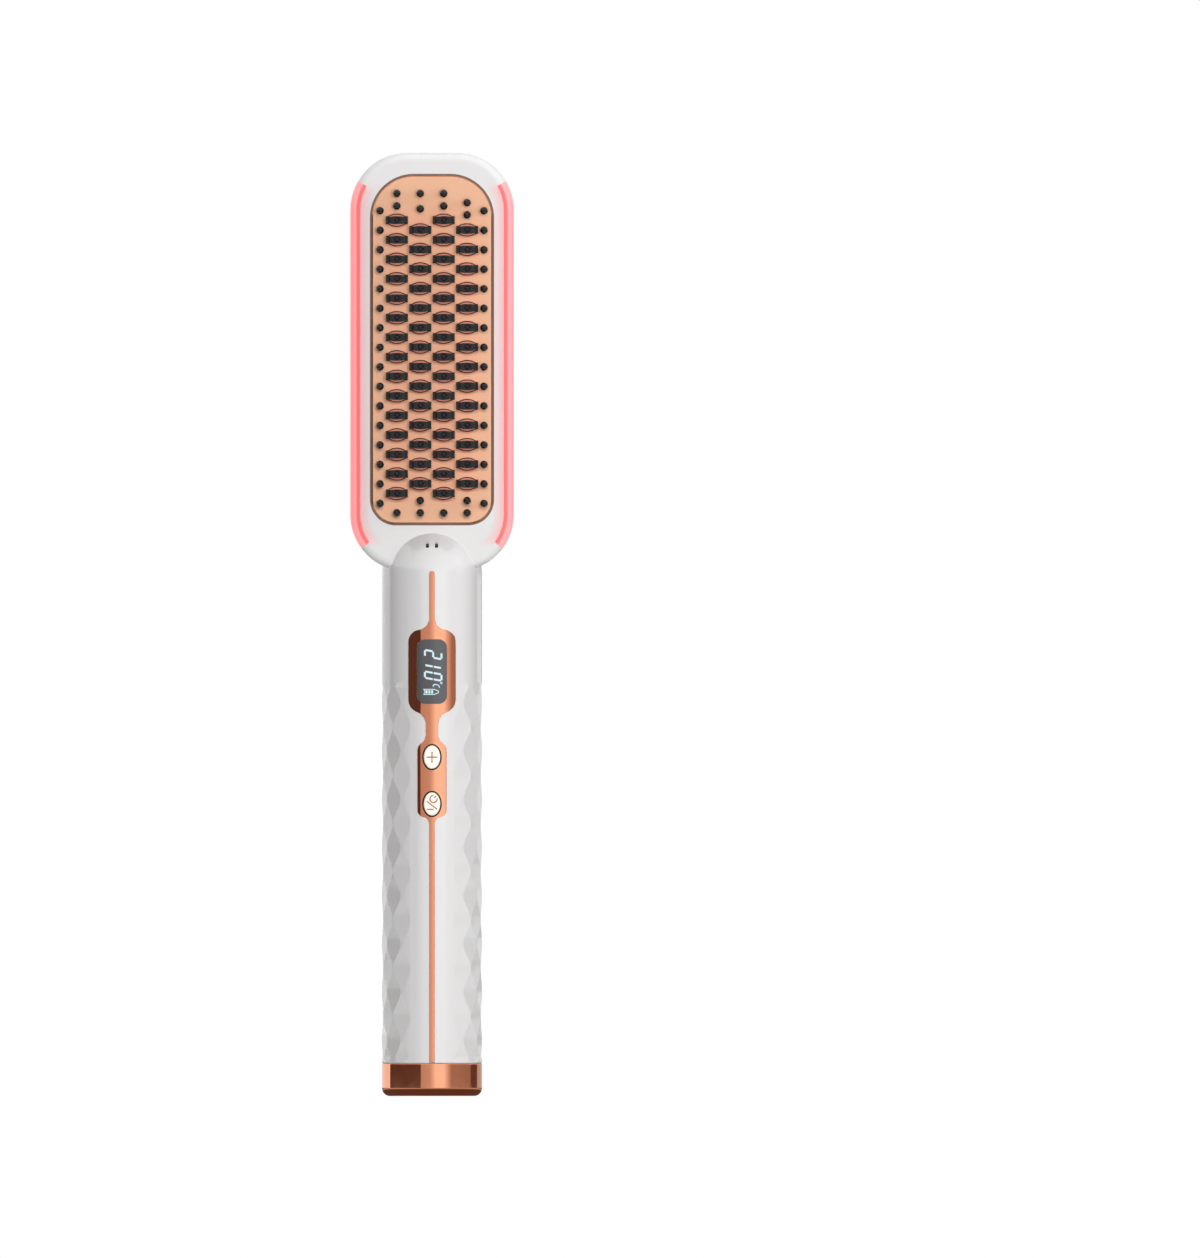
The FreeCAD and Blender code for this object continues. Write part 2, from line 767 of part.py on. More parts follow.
bore = rod_up("bore", "bore_radius", "0", "handle_length")
bore_end = ball("bore_end", "bore_radius", z="handle_length")
head_cavity = slab(
    "head_cavity",
    "head_half - head_wall",
    "head_low + head_wall",
    "head_high - head_wall",
    "head_corner - head_wall",
    "head_corner - head_wall",
    "ledge_back",
    "cavity_back",
)
plate_recess = slab(
    "plate_recess",
    "plate_half + plate_gap",
    "plate_low - plate_gap",
    "plate_high + plate_gap",
    "plate_corner_low + plate_gap",
    "plate_corner_high + plate_gap",
    "head_front - overrun",
    "ledge_front",
)
heater_window = slab(
    "heater_window",
    "window_half",
    "window_low",
    "window_high",
    "window_corner",
    "window_corner",
    "ledge_front - overrun",
    "ledge_back + overrun",
)
frame_recess = slab(
    "frame_recess",
    "frame_half + frame_gap",
    "frame_low - frame_gap",
    "frame_high + frame_gap",
    "frame_corner + frame_gap",
    "frame_corner + frame_gap",
    "frame_floor",
    "head_back + overrun",
)


def dome_form(name, gap):
    """The handle's domed end and a stretch of the handle under it, grown by a gap."""
    radius = f"handle_radius + {gap}"
    stem = rod_up(name + "_stem", radius, "cap_height", "handle_length")
    return fuse(name, ball(name + "_ball", radius, z="handle_length"), stem)


# The rear recess stops at the dome, which stands proud of the head's back
frame_hollow = cut("frame_hollow", frame_recess, dome_form("dome_keep", "0"))
hollow = fuse("housing_hollow", bore, bore_end, head_cavity, plate_recess, heater_window, frame_hollow)


def strip_region(name, side, spread):
    """Where one side strip lies, seen from the front: between two lines out of the head's corners."""
    corner = side * number("head_half - head_corner")
    reach = number("head_width")
    low, high = number("head_low + head_corner"), number("head_high - head_corner")
    widen = math.degrees(number(spread) / number("head_corner - strip_width"))
    rise = reach * math.tan(math.radians(number("strip_high_angle") + widen))
    fall = reach * math.tan(math.radians(number("strip_low_angle") + widen))
    front = number("head_front - overrun")
    back = number(f"-strip_back + {spread}")
    points = [
        Vector(corner, front, low),
        Vector(corner, front, high),
        Vector(corner + side * reach, front, high + rise),
        Vector(corner + side * reach, front, low - fall),
    ]
    face = Part.Face(Part.makePolygon(points + points[:1]))
    return built(name, face.extrude(Vector(0, back - front, 0)))


def strip_rim(name, rim, spread):
    """The head's rim, as deep as a side strip is wide."""
    depth = f"strip_width + {spread}"
    core = slab(
        name + "_core",
        f"head_half - ({depth})",
        f"head_low + {depth}",
        f"head_high - ({depth})",
        f"head_corner - ({depth})",
        f"head_corner - ({depth})",
        "head_front - overrun",
        "head_back + overrun",
    )
    return cut(name, rim, core)


SIDES = {"left": -1, "right": 1}

strip_rim_tight = strip_rim("strip_rim", head, "0")
strip_rim_wide = strip_rim("strip_pocket_rim", head_slab("strip_pocket_form", "overrun"), "strip_gap")
strip_pockets = []
for side, sign in SIDES.items():
    region = strip_region(f"strip_region_{side}", sign, "0")
    piece(f"light_strip_{side}", common(f"strip_{side}", strip_rim_tight, region))
    pocket = strip_region(f"strip_pocket_region_{side}", sign, "strip_gap")
    strip_pockets.append(common(f"strip_pocket_{side}", strip_rim_wide, pocket))

# Front trim: one inlaid strip that widens round the display and round the buttons


def trim_outline(gap, foot):
    """The trim seen from the front: a line, the bezel, its neck, the button pod and a line again.

    Each change of width is two equal arcs that leave and arrive straight up and down.
    """
    line, bezel, neck, pod = [
        number(f"{width} / 2 + {gap}")
        for width in ("trim_line_width", "trim_bezel_width", "trim_neck_width", "trim_pod_width")
    ]
    top, bottom = number("handle_length"), number(foot)
    stretches = [
        (line, top, number("line_high")),
        (bezel, number("bezel_high"), number("bezel_low")),
        (neck, number("neck_high"), number("neck_low")),
        (pod, number("pod_high"), number("pod_low")),
        (line, number("line_low"), bottom),
    ]

    def edges_of(side):
        """One side's edges from the top down."""
        edges = []
        for (half, high, low), after in zip(stretches, stretches[1:] + [None]):
            edges.append(Part.makeLine(Vector(side * half, 0, high), Vector(side * half, 0, low)))
            if after:
                edges += shoulder(side, half, low, after[0], after[1])
        return edges

    cap_point = Vector(0, 0, top + line)
    ends = [
        Part.Arc(Vector(-line, 0, top), cap_point, Vector(line, 0, top)).toShape(),
        Part.makeLine(Vector(-line, 0, bottom), Vector(line, 0, bottom)),
    ]
    return Part.Wire(Part.__sortEdges__(edges_of(-1) + edges_of(1) + ends))


def shoulder(side, half, high, next_half, low):
    """Two equal arcs from one half width to another, upright at both ends."""
    shift = next_half - half
    drop = high - low
    radius = (shift**2 + drop**2) / (4 * abs(shift))
    turn = math.asin(drop / (2 * radius))
    bow = math.copysign(radius * (1 - math.cos(turn / 2)), shift)
    sag = radius * math.sin(turn / 2)
    start = Vector(side * half, 0, high)
    middle = Vector(side * (half + shift / 2), 0, high - drop / 2)
    end = Vector(side * next_half, 0, low)
    first = Part.Arc(start, Vector(side * (half + bow), 0, high - sag), middle)
    second = Part.Arc(middle, Vector(side * (next_half - bow), 0, low + sag), end)
    return [first.toShape(), second.toShape()]


def trim_bar(name, gap, foot):
    """The trim's outline carried from the handle's middle to beyond its front."""
    face = Part.Face(trim_outline(gap, foot))
    return built(name, face.extrude(Vector(0, -number("trim_radius + overrun"), 0)))


def lens_bar(name, gap):
    """The display's outline, grown by a gap, through the handle's front wall."""
    return slab(
        name,
        f"lens_width / 2 + {gap}",
        f"lens_low - ({gap})",
        f"lens_high + {gap}",
        f"lens_corner + {gap}",
        f"lens_corner + {gap}",
        "-(trim_radius + overrun)",
        "wall_inside",
    )


BUTTONS = {"plus": "plus_height", "power": "power_height"}


def button_hole(name, height):
    """The oval hole that a button travels in."""
    half, half_length = "button_width / 2 + button_gap", "button_length / 2 + button_gap"
    return oval(name, half, half_length, "-(trim_radius + overrun)", "wall_inside", z=height)


trim_skin = rod_up("trim_skin", "trim_radius", "0", "handle_length + trim_line_width")
trim_core = rod_up("trim_core", "trim_inner", "0", "handle_length + trim_line_width")
button_holes = [button_hole(f"{name}_hole", height) for name, height in BUTTONS.items()]
trim_band = common("trim_band", trim_bar("trim_bar", "0", "cap_height + trim_foot"), trim_skin)
lens_hole = lens_bar("lens_hole", "lens_gap")
piece("front_trim", cut("trim", trim_band, trim_core, lens_hole, *button_holes))

trim_bed = rod_up("trim_bed", "trim_floor", "0", "handle_length + trim_line_width + overrun")
trim_recess_bar = trim_bar("trim_recess_bar", "trim_gap", "cap_height - overrun")
trim_recess = cut("trim_recess", trim_recess_bar, trim_bed)
lens_window = lens_bar("lens_window", "-lens_ledge")
lens_skin = rod_up("lens_skin", "trim_radius", "lens_low", "lens_high")
lens_core = rod_up("lens_core", "trim_inner", "lens_low", "lens_high")
piece("display_lens", cut("lens", common("lens_band", lens_bar("lens_bar", "0"), lens_skin), lens_core))

# Ion vents in the front of the dome
vents = []
for side, sign in SIDES.items():
    centre = f"{sign} * vent_spacing / 2"
    across = (f"{centre} - vent_width / 2", f"{centre} + vent_width / 2")
    tall = ("vent_height - vent_length / 2", "vent_height + vent_length / 2")
    vents.append(block(f"vent_{side}", across, ("-handle_radius", "needle_tip"), tall))

# Front and rear housings, which meet at the middle plane and screw together under the rear frame


def boss(name, front, back, radius, sign):
    """A round post, or the hole in it, where a screw joins the two housings."""
    return rod_back(name, radius, front, back, f"{sign} * boss_column", "boss_row")


def board_screw_spots():
    """The main board's screws, on the two ribs near the board's ends."""
    heights = ("board_low + board_screw_inset", "board_high - board_screw_inset")
    return [(f"{sign} * rib_middle", height) for height in heights for sign in SIDES.values()]


front_half = block(
    "front_half",
    ("-head_width", "head_width"),
    ("-head_width", "0"),
    ("0", "head_high + overrun"),
)
rear_half = block(
    "rear_half",
    ("-head_width", "head_width"),
    ("0", "head_width"),
    ("0", "head_high + overrun"),
)
shell = cut("housing_shell", outer, hollow)

ribs = []
rib_reach = f"bore_radius + {RIB_ROOT_SHARE} * handle_wall"
rib_limit = rod_up("rib_limit", rib_reach, "board_low", "board_high")
for side, sign in SIDES.items():
    near, far = f"{sign} * rib_inner", f"{sign} * rib_outer"
    across = (near, far) if sign > 0 else (far, near)
    bar = block(f"rib_bar_{side}", across, ("-handle_radius", "board_face"), ("board_low", "board_high"))
    ribs.append(common(f"rib_{side}", bar, rib_limit))

plate_screw_hole = rod_back(
    "plate_screw_hole",
    "screw_radius + screw_gap",
    "plate_back - screw_bite - screw_gap",
    "strap_back + overrun",
)
plate_screw_holes = copies("plate_screw_holes", plate_screw_hole, plate_screw_places())
board_screw_holes = [
    rod_back(
        f"board_screw_hole_{index}",
        "board_screw_radius + screw_gap",
        "board_face - board_screw_bite - screw_gap",
        "board_back + overrun",
        x,
        z,
    )
    for index, (x, z) in enumerate(board_screw_spots())
]
front_posts = []
rear_posts = []
post_holes = []
screw_pockets = []
for side, sign in SIDES.items():
    front_posts.append(boss(f"front_post_{side}", "ledge_back", "0", "boss_radius", sign))
    rear_posts.append(boss(f"rear_post_{side}", "0", "cavity_back", "boss_radius", sign))
    deep = "ledge_back - boss_bite - screw_gap"
    post_holes.append(boss(f"post_hole_{side}", deep, "screw_seat", "screw_radius + screw_gap", sign))
    wide = "screw_head_radius + screw_gap"
    screw_pockets.append(boss(f"screw_pocket_{side}", "screw_seat", "frame_floor + overrun", wide, sign))

front_form = fuse("front_form", common("front_shell", shell, front_half), *front_posts, *ribs)
front_openings = [trim_recess, lens_window, *button_holes, *vents, *strip_pockets, *post_holes]
front_openings += [plate_screw_holes, *board_screw_holes]
piece("front_housing", cut("front_housing", front_form, *front_openings))

rear_form = fuse("rear_form", common("rear_shell", shell, rear_half), *rear_posts)
piece("rear_housing", cut("rear_housing", rear_form, *post_holes, *screw_pockets))

screws = []
for side, sign in SIDES.items():
    tip = "ledge_back - boss_bite"
    shank = boss(f"housing_shank_{side}", tip, "screw_seat", "screw_radius", sign)
    over = "screw_seat + screw_head_height"
    cap = boss(f"housing_cap_{side}", "screw_seat", over, "screw_head_radius", sign)
    screws.append(fuse(f"housing_screw_{side}", shank, cap))
doc.recompute()
piece("housing_screws", built("housing_screws", Part.makeCompound([screw.Shape for screw in screws])))

# Rear trim frame, which slopes in to the flat rear panel


def frame_slab(name, grow, front, back):
    """The frame's outer outline, grown by a size, between two depths."""
    half, low, high = f"frame_half + {grow}", f"frame_low - ({grow})", f"frame_high + {grow}"
    corner = f"frame_corner + {grow}"
    return slab(name, half, low, high, corner, corner, front, back)


def frame_slope():
    """The hollow over the frame, from the panel's outline out to the frame's thin land."""
    body = doc.addObject("PartDesign::Body", "frame_slope")
    sections = []
    ends = (("inner", "panel_face", "-frame_band"), ("outer", "head_back", "-frame_land"))
    for name, depth, grow in ends:
        sketch = sketch_on(body, "frame_slope_" + name, "XZ_Plane", f"-({depth})")
        half, low, high = f"frame_half + {grow}", f"frame_low - ({grow})", f"frame_high + {grow}"
        corner = f"frame_corner + {grow}"
        rounded_outline(sketch, half, low, high, corner, corner)
        sections.append(sketch)
    loft = body.newObject("PartDesign::AdditiveLoft", "frame_slope_loft")
    loft.Profile = sections[0]
    loft.Sections = sections[1:]
    loft.Ruled = True
    body.Tip = loft
    return body


frame_dome = dome_form("frame_dome", "frame_gap")
frame_hole = frame_slab("frame_hole", "-frame_band", "frame_floor - overrun", "head_back + overrun")
frame_bar = frame_slab("frame_bar", "0", "frame_floor", "head_back")
piece("rear_trim_frame", cut("frame", frame_bar, frame_slope(), frame_hole, frame_dome))
panel_bar = frame_slab("panel_bar", "-(frame_band + frame_gap)", "frame_floor", "panel_face")
piece("rear_panel", cut("panel", panel_bar, frame_dome))

# End cap with the slot for the charging port


def upright_bar(name, half_width, half_breadth, corner, low, high):
    """A bar of rounded section along Z."""
    body = doc.addObject("PartDesign::Body", name)
    sketch = sketch_on(body, name + "_outline", "XY_Plane", low)
    rounded_outline(sketch, half_width, f"-({half_breadth})", half_breadth, corner, corner)
    pad_from(body, sketch, f"({high}) - ({low})")
    return body


def port_bar(name, grow, low, high):
    """The charging port's outline, grown by a size."""
    half, half_breadth = f"port_width / 2 + {grow}", f"port_breadth / 2 + {grow}"
    return upright_bar(name, half, half_breadth, f"port_corner + {grow}", low, high)


cap_form = disc("cap_form", "handle_radius", "0", "cap_height")
round_faces(cap_form, "cap_round", Vector(0, 0, -1))
round_faces(cap_form, "cap_lip_round", Vector(0, 0, 1))
cap_bore = rod_up("cap_bore", "handle_radius - cap_wall", "cap_floor", "cap_height + overrun")
port_slot = port_bar("port_slot", "port_gap", "-overrun", "cap_floor + overrun")
cap_cup = cut("cap_cup", cap_form, cap_bore, port_slot)
charge_board_back = "port_breadth / 2 + charge_board_thickness"
cap_posts = []
for side, sign in SIDES.items():
    near = f"{sign} * (charge_board_width / 2 - cap_post_width)"
    far = f"{sign} * charge_board_width / 2"
    across = (near, far) if sign > 0 else (far, near)
    behind = (f"{charge_board_back} + cap_gap", f"{charge_board_back} + cap_gap + cap_post_depth")
    tall = ("cap_floor", "cap_floor + cap_post_height")
    cap_posts.append(block(f"cap_post_{side}", across, behind, tall))
piece("end_cap", fuse("cap", cap_cup, *cap_posts))

# Charging port on its board

port_hole = port_bar("port_hole", "-port_wall", "port_low - overrun", "port_high + overrun")
port_form = port_bar("port_form", "0", "port_low", "port_high")
piece("charge_port_shell", cut("port_shell", port_form, port_hole))
tongue = block(
    "tongue",
    ("-tongue_width / 2", "tongue_width / 2"),
    ("-tongue_thickness / 2", "tongue_thickness / 2"),
    ("port_low + tongue_recess", "port_high - port_back_length"),
)
tongue_root = port_bar("tongue_root", "-port_wall", "port_high - port_back_length", "port_high")
piece("charge_port_tongue", fuse("port_tongue", tongue, tongue_root))
piece(
    "charge_board",
    block(
        "charge_board",
        ("-charge_board_width / 2", "charge_board_width / 2"),
        ("port_breadth / 2", charge_board_back),
        ("charge_board_low", "charge_board_low + charge_board_length"),
    ),
)

# Heating plate with a pocket for every fin and a hole for every pin

plate_form = slab(
    "plate_form",
    "plate_half",
    "plate_low",
    "plate_high",
    "plate_corner_low",
    "plate_corner_high",
    "plate_face",
    "plate_back",
)
round_faces(plate_form, "plate_edge_round", Vector(0, -1, 0))
fin_pocket = oval(
    "fin_pocket",
    "fin_width / 2 + fin_gap",
    "fin_breadth / 2 + fin_gap",
    "plate_face - overrun",
    "fin_base",
)
pin_hole = rod_back("pin_hole", "pin_radius + pin_gap", "plate_face - overrun", "plate_face + pin_seat")
fin_pockets = copies("fin_pockets", fin_pocket, tooth_places())
pin_holes = copies("pin_holes", pin_hole, pin_places())
piece("heating_plate", cut("plate", plate_form, fin_pockets, pin_holes, plate_screw_holes))

# Teeth: an oval heating fin, and a black tip whose web sits in the fin

web_half, web_thick = "tip_web_width / 2", "tip_web_breadth / 2"
fin_slot = block(
    "fin_slot",
    (f"-({web_half} + tip_web_gap)", f"{web_half} + tip_web_gap"),
    ("fin_top - overrun", "fin_top + tip_web_depth + tip_web_gap"),
    (f"-({web_thick} + tip_web_gap)", f"{web_thick} + tip_web_gap"),
)
fin = cut("fin", oval("fin_form", "fin_width / 2", "fin_breadth / 2", "fin_top", "fin_base"), fin_slot)
piece("heating_fins", copies("heating_fins", fin, tooth_places()))

barrel_half = "tip_barrel_width / 2"
barrel = common(
    "tip_barrel",
    oval("tip_oval", "tip_barrel_oval / 2", "tip_breadth / 2", "tip_top", "fin_top"),
    block(
        "tip_limit",
        (f"-{barrel_half}", barrel_half),
        ("tip_top", "fin_top"),
        ("-tip_breadth", "tip_breadth"),
    ),
)
tabs = []
for side, sign in SIDES.items():
    near, far = f"{sign} * {barrel_half}", f"{sign} * tip_width / 2"
    across = (near, far) if sign > 0 else (far, near)
    tall = ("-tip_tab_breadth / 2", "tip_tab_breadth / 2")
    tabs.append(block(f"tip_tab_{side}", across, ("tip_top", "fin_top"), tall))
web = block(
    "tip_web",
    (f"-{web_half}", web_half),
    ("fin_top", "fin_top + tip_web_depth"),
    (f"-{web_thick}", web_thick),
)
nub = ball("tip_nub", "nub_radius", y="tip_top + nub_sink")
piece("tooth_tips", copies("tooth_tips", fuse("tip", barrel, *tabs, web, nub), tooth_places()))

pin_end = "plate_face - pin_height + pin_radius"
pin_rod = rod_back("pin_rod", "pin_radius", pin_end, "plate_face + pin_seat")
pin = fuse("pin", pin_rod, ball("pin_ball", "pin_radius", y=pin_end))
piece("guard_pins", copies("guard_pins", pin, pin_places()))

# Heater, its mica sheet and the straps that clamp it, with the sensor and the fuse beside it


def heater_layer(name, width, length, front, back):
    """A flat layer of the heater stack, centred on the window."""
    tall = (f"window_middle - {length} / 2", f"window_middle + {length} / 2")
    return block(name, (f"-{width} / 2", f"{width} / 2"), (front, back), tall)


heater = heater_layer("heater", "heater_width", "heater_length", "plate_back", "heater_back")
piece("ceramic_heater", heater)
mica = heater_layer("mica", "mica_width", "mica_length", "heater_back", "mica_back")
piece("mica_sheet", mica)

strap = block(
    "strap_bar",
    ("-strap_length / 2", "strap_length / 2"),
    ("mica_back", "strap_back"),
    ("-strap_width / 2", "strap_width / 2"),
)
strap_heights = sorted({z for x, z in plate_screw_places()})
strap_bars = copies("strap_bars", strap, [(0, z) for z in strap_heights])
piece("heater_straps", cut("straps", strap_bars, plate_screw_holes))

plate_screw = fuse(
    "plate_screw",
    rod_back("plate_shank", "screw_radius", "plate_back - screw_bite", "strap_back"),
    rod_back("plate_screw_cap", "screw_head_radius", "strap_back", "strap_back + screw_head_height"),
)
piece("plate_screws", copies("plate_screws", plate_screw, plate_screw_places()))


def beside_heater(name, sign, radius, length):
    """A small round component on the plate's back, between the heater and the window's edge."""
    x = f"{sign} * (heater_width / 2 + window_half) / 2"
    low, high = f"window_middle - {length} / 2", f"window_middle + {length} / 2"
    return rod_up(name, radius, low, high, x, f"plate_back + {radius} + sensor_gap")


piece("temperature_sensor", beside_heater("sensor", 1, "sensor_radius", "sensor_length"))
piece("thermal_fuse", beside_heater("fuse", -1, "fuse_radius", "fuse_length"))

# Light boards inside the side strips, each with a row of lamps

led_middle = "head_low + head_length / 2"
for side, sign in SIDES.items():
    near, far = f"{sign} * (led_board_face - led_board_thickness)", f"{sign} * led_board_face"
    across = (near, far) if sign > 0 else (far, near)
    tall = (f"{led_middle} - led_board_length / 2", f"{led_middle} + led_board_length / 2")
    deep = ("led_board_front", "led_board_front + led_board_width")
    piece(f"led_board_{side}", block(f"led_board_{side}", across, deep, tall))
    lit = (far, f"{sign} * led_face") if sign > 0 else (f"{sign} * led_face", far)
    centre = "(ledge_back - strip_back) / 2"
    lamp = block(
        f"led_{side}",
        lit,
        (f"{centre} - led_width / 2", f"{centre} + led_width / 2"),
        ("-led_width / 2", "led_width / 2"),
    )
    count = int(number("led_count"))
    step = number("led_board_length") / count
    first = number(led_middle) - step * (count - 1) / 2
    piece(f"leds_{side}", copies(f"leds_{side}", lamp, [(0, first + k * step) for k in range(count)]))

# Main board with the display, and a switch behind each button

board = block(
    "board",
    ("-board_width / 2", "board_width / 2"),
    ("board_face", "board_back"),
    ("board_low", "board_high"),
)
piece("main_board", cut("main_board", board, *board_screw_holes))
board_screws = []
for index, (x, z) in enumerate(board_screw_spots()):
    tip, seat = "board_face - board_screw_bite", "board_back"
    shank = rod_back(f"board_shank_{index}", "board_screw_radius", tip, seat, x, z)
    over = f"{seat} + board_screw_head_height"
    top = rod_back(f"board_cap_{index}", "board_screw_head_radius", seat, over, x, z)
    board_screws.append(fuse(f"board_screw_{index}", shank, top))
doc.recompute()
piece("board_screws", built("board_screws", Part.makeCompound([screw.Shape for screw in board_screws])))

piece(
    "display_module",
    block(
        "display_module",
        ("lens_ledge - lens_width / 2", "lens_width / 2 - lens_ledge"),
        ("board_face - module_depth", "board_face"),
        ("lens_low + lens_ledge", "lens_high - lens_ledge"),
    ),
)

for name, height in BUTTONS.items():
    half, half_length = "button_width / 2", "button_length / 2"
    crown = oval(f"{name}_crown", half, half_length, "button_face", "flange_face", z=height)
    doc.recompute()
    rim = min(range(len(crown.Shape.Edges)), key=lambda k: crown.Shape.Edges[k].CenterOfMass.y)
    softened = doc.addObject("Part::Fillet", f"{name}_soft")
    softened.Base = crown
    softened.Edges = [(rim + 1, number("button_edge_round"), number("button_edge_round"))]
    half, half_length = "flange_half", "flange_length_half"
    flange = oval(f"{name}_flange", half, half_length, "flange_face", "flange_back", z=height)
    piece(f"{name}_button", fuse(f"{name}_button", softened, flange))
    can = block(
        f"{name}_can",
        ("-switch_width / 2", "switch_width / 2"),
        ("switch_face", "board_face"),
        (f"{height} - switch_width / 2", f"{height} + switch_width / 2"),
    )
    well = rod_back(
        f"{name}_well",
        "plunger_radius + plunger_gap",
        "switch_face - overrun",
        "plunger_back + plunger_room",
        z=height,
    )
    piece(f"{name}_switch", cut(f"{name}_switch", can, well))
    plunger = rod_back(f"{name}_plunger", "plunger_radius", "plunger_face", "plunger_back", z=height)
    piece(f"{name}_plunger", plunger)

# Battery: two cells in a cradle that fills the handle's bore

cradle_round = rod_up("cradle_round", "cradle_radius", "cradle_low", "cradle_high")
cradle_limit = block(
    "cradle_limit",
    ("-bore_radius", "bore_radius"),
    ("cradle_face", "bore_radius"),
    ("cradle_low", "cradle_high"),
)
cradle_cuts = []
for name, low in (("lower", "lower_cell_low"), ("upper", "upper_cell_low")):
    ends = (f"{low} - cell_gap", f"{low} + cell_length + cell_gap")
    cradle_cuts.append(rod_up(f"{name}_pocket", "cell_radius + cell_gap", *ends, y="cell_axis"))
    across = ("-cradle_slot_width / 2", "cradle_slot_width / 2")
    cradle_cuts.append(block(f"{name}_slot", across, ("cell_axis", "bore_radius"), ends))
    cell = rod_up(f"{name}_cell", "cell_radius", low, f"{low} + cell_length", y="cell_axis")
    piece(f"battery_cell_{name}", cell)
piece("battery_cradle", cut("cradle", common("cradle_form", cradle_round, cradle_limit), *cradle_cuts))

# Ion generator behind the vents, with its two needles

piece(
    "ion_generator",
    block(
        "ion_generator",
        ("-ion_width / 2", "ion_width / 2"),
        ("ion_face", "cavity_back - ion_gap"),
        ("ion_low", "ion_low + ion_length"),
    ),
)
needle = rod_back("needle", "needle_radius", "needle_tip", "ion_face")
needle_spots = [(sign * number("vent_spacing / 2"), number("vent_height")) for sign in SIDES.values()]
piece("ion_needles", copies("ion_needles", needle, needle_spots))

# Two leads from the main board, past the ion generator, to the heater's lower end


def lead_shape(points, radius):
    """A round lead along straight runs, with a tangent arc at each bend as large as its runs allow."""
    edges = []
    start = points[0]
    for before, corner, after in zip(points, points[1:], points[2:]):
        arrive, leave = (corner - before).normalize(), (after - corner).normalize()
        room = LEAD_BEND_SHARE * min(before.distanceToPoint(corner), corner.distanceToPoint(after))
        bisector = (leave - arrive).normalize()
        half_turn = arrive.getAngle(leave) / 2
        bend = room / math.tan(half_turn)
        first, last = corner - arrive * room, corner + leave * room
        middle = corner + bisector * (bend / math.cos(half_turn) - bend)
        edges += [Part.makeLine(start, first), Part.Arc(first, middle, last).toShape()]
        start = last
    edges.append(Part.makeLine(start, points[-1]))
    path = Part.Wire(edges)
    ring = Part.Wire(Part.makeCircle(radius, points[0], points[1] - points[0]))
    return path.makePipeShell([ring], True, False)


lead_past_ion = "(ion_width / 2 + boss_column - boss_radius) / 2"
lead_at_heater = "heater_width / 2 - lead_radius * 2"
board_core, heater_core = "(board_face + board_back) / 2", "(plate_back + heater_back) / 2"
LEAD_ROUTE = (
    ("board_width / 4", board_core, "board_high"),
    ("board_width / 4", board_core, "cradle_high"),
    (lead_past_ion, "ledge_back / 2", "ion_low"),
    (lead_past_ion, "ledge_back / 2", "window_low - ledge_thickness"),
    (lead_at_heater, heater_core, "heater_low - ledge_thickness"),
    (lead_at_heater, heater_core, "heater_low"),
)
leads = []
for sign in SIDES.values():
    route = [Vector(sign * number(x), number(y), number(z)) for x, y, z in LEAD_ROUTE]
    leads.append(lead_shape(route, number("lead_radius")))
piece("heater_leads", built("heater_leads", Part.makeCompound(leads)))

# Check every object, then write each piece

doc.recompute()
for thing in doc.Objects:
    if "Invalid" in thing.State or "Error" in thing.State:
        raise RuntimeError(f"{thing.Name} failed: {thing.State}")
for thing in pieces:
    if thing.Shape.isNull() or not thing.Shape.isValid() or not thing.Shape.Solids:
        raise RuntimeError(f"{thing.Label} has no sound shape")

os.makedirs("parts", exist_ok=True)
for thing in pieces:
    thing.Shape.exportStep(f"parts/{thing.Label}.step")
    print(thing.Label, len(thing.Shape.Solids), round(thing.Shape.Volume, 1))
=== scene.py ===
"""Looks of a cordless hair straightening brush, laid out as an add-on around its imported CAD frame.

All lengths are metres. The handle stands along +Z, the comb faces -Y and +X is to the viewer's right.
"""
import json
import math

import bmesh
import bpy
import numpy as np
from bpy.props import FloatProperty, FloatVectorProperty, PointerProperty
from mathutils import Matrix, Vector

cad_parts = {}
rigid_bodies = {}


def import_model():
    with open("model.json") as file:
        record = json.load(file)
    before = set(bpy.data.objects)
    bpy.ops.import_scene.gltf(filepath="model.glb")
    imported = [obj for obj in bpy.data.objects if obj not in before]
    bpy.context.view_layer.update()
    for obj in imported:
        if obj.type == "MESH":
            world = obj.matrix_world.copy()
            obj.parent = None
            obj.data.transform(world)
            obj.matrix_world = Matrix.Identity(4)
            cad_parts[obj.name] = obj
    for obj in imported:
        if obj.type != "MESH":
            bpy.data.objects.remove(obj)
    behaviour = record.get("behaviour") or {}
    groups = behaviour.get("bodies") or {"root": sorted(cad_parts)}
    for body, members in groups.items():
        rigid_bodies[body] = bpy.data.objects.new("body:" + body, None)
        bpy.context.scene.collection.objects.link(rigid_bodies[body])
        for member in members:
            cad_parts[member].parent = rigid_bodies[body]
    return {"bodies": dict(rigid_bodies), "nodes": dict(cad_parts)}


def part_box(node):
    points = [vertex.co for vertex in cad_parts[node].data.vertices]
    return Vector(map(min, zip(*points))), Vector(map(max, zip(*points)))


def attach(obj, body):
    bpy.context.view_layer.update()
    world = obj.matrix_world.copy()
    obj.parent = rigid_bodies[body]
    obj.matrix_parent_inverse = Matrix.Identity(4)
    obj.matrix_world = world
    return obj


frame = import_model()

bl_info = {
    "name": "Hair Straightening Brush",
    "version": (1, 0, 0),
    "blender": (4, 5, 0),
    "location": "3D View > Sidebar > Brush",
    "description": "Finishes, display, button signs and studio stage of a hair straightening brush",
    "category": "Object",
}

# Objects that Blender starts with are no part of the frame
for leftover in set(bpy.data.objects) - set(frame["nodes"].values()) - set(frame["bodies"].values()):
    bpy.data.objects.remove(leftover)

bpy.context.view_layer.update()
LENS_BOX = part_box("display_lens")
STRIP_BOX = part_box("light_strip_right")
HOUSING_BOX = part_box("front_housing")
PLATE_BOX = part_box("heating_plate")

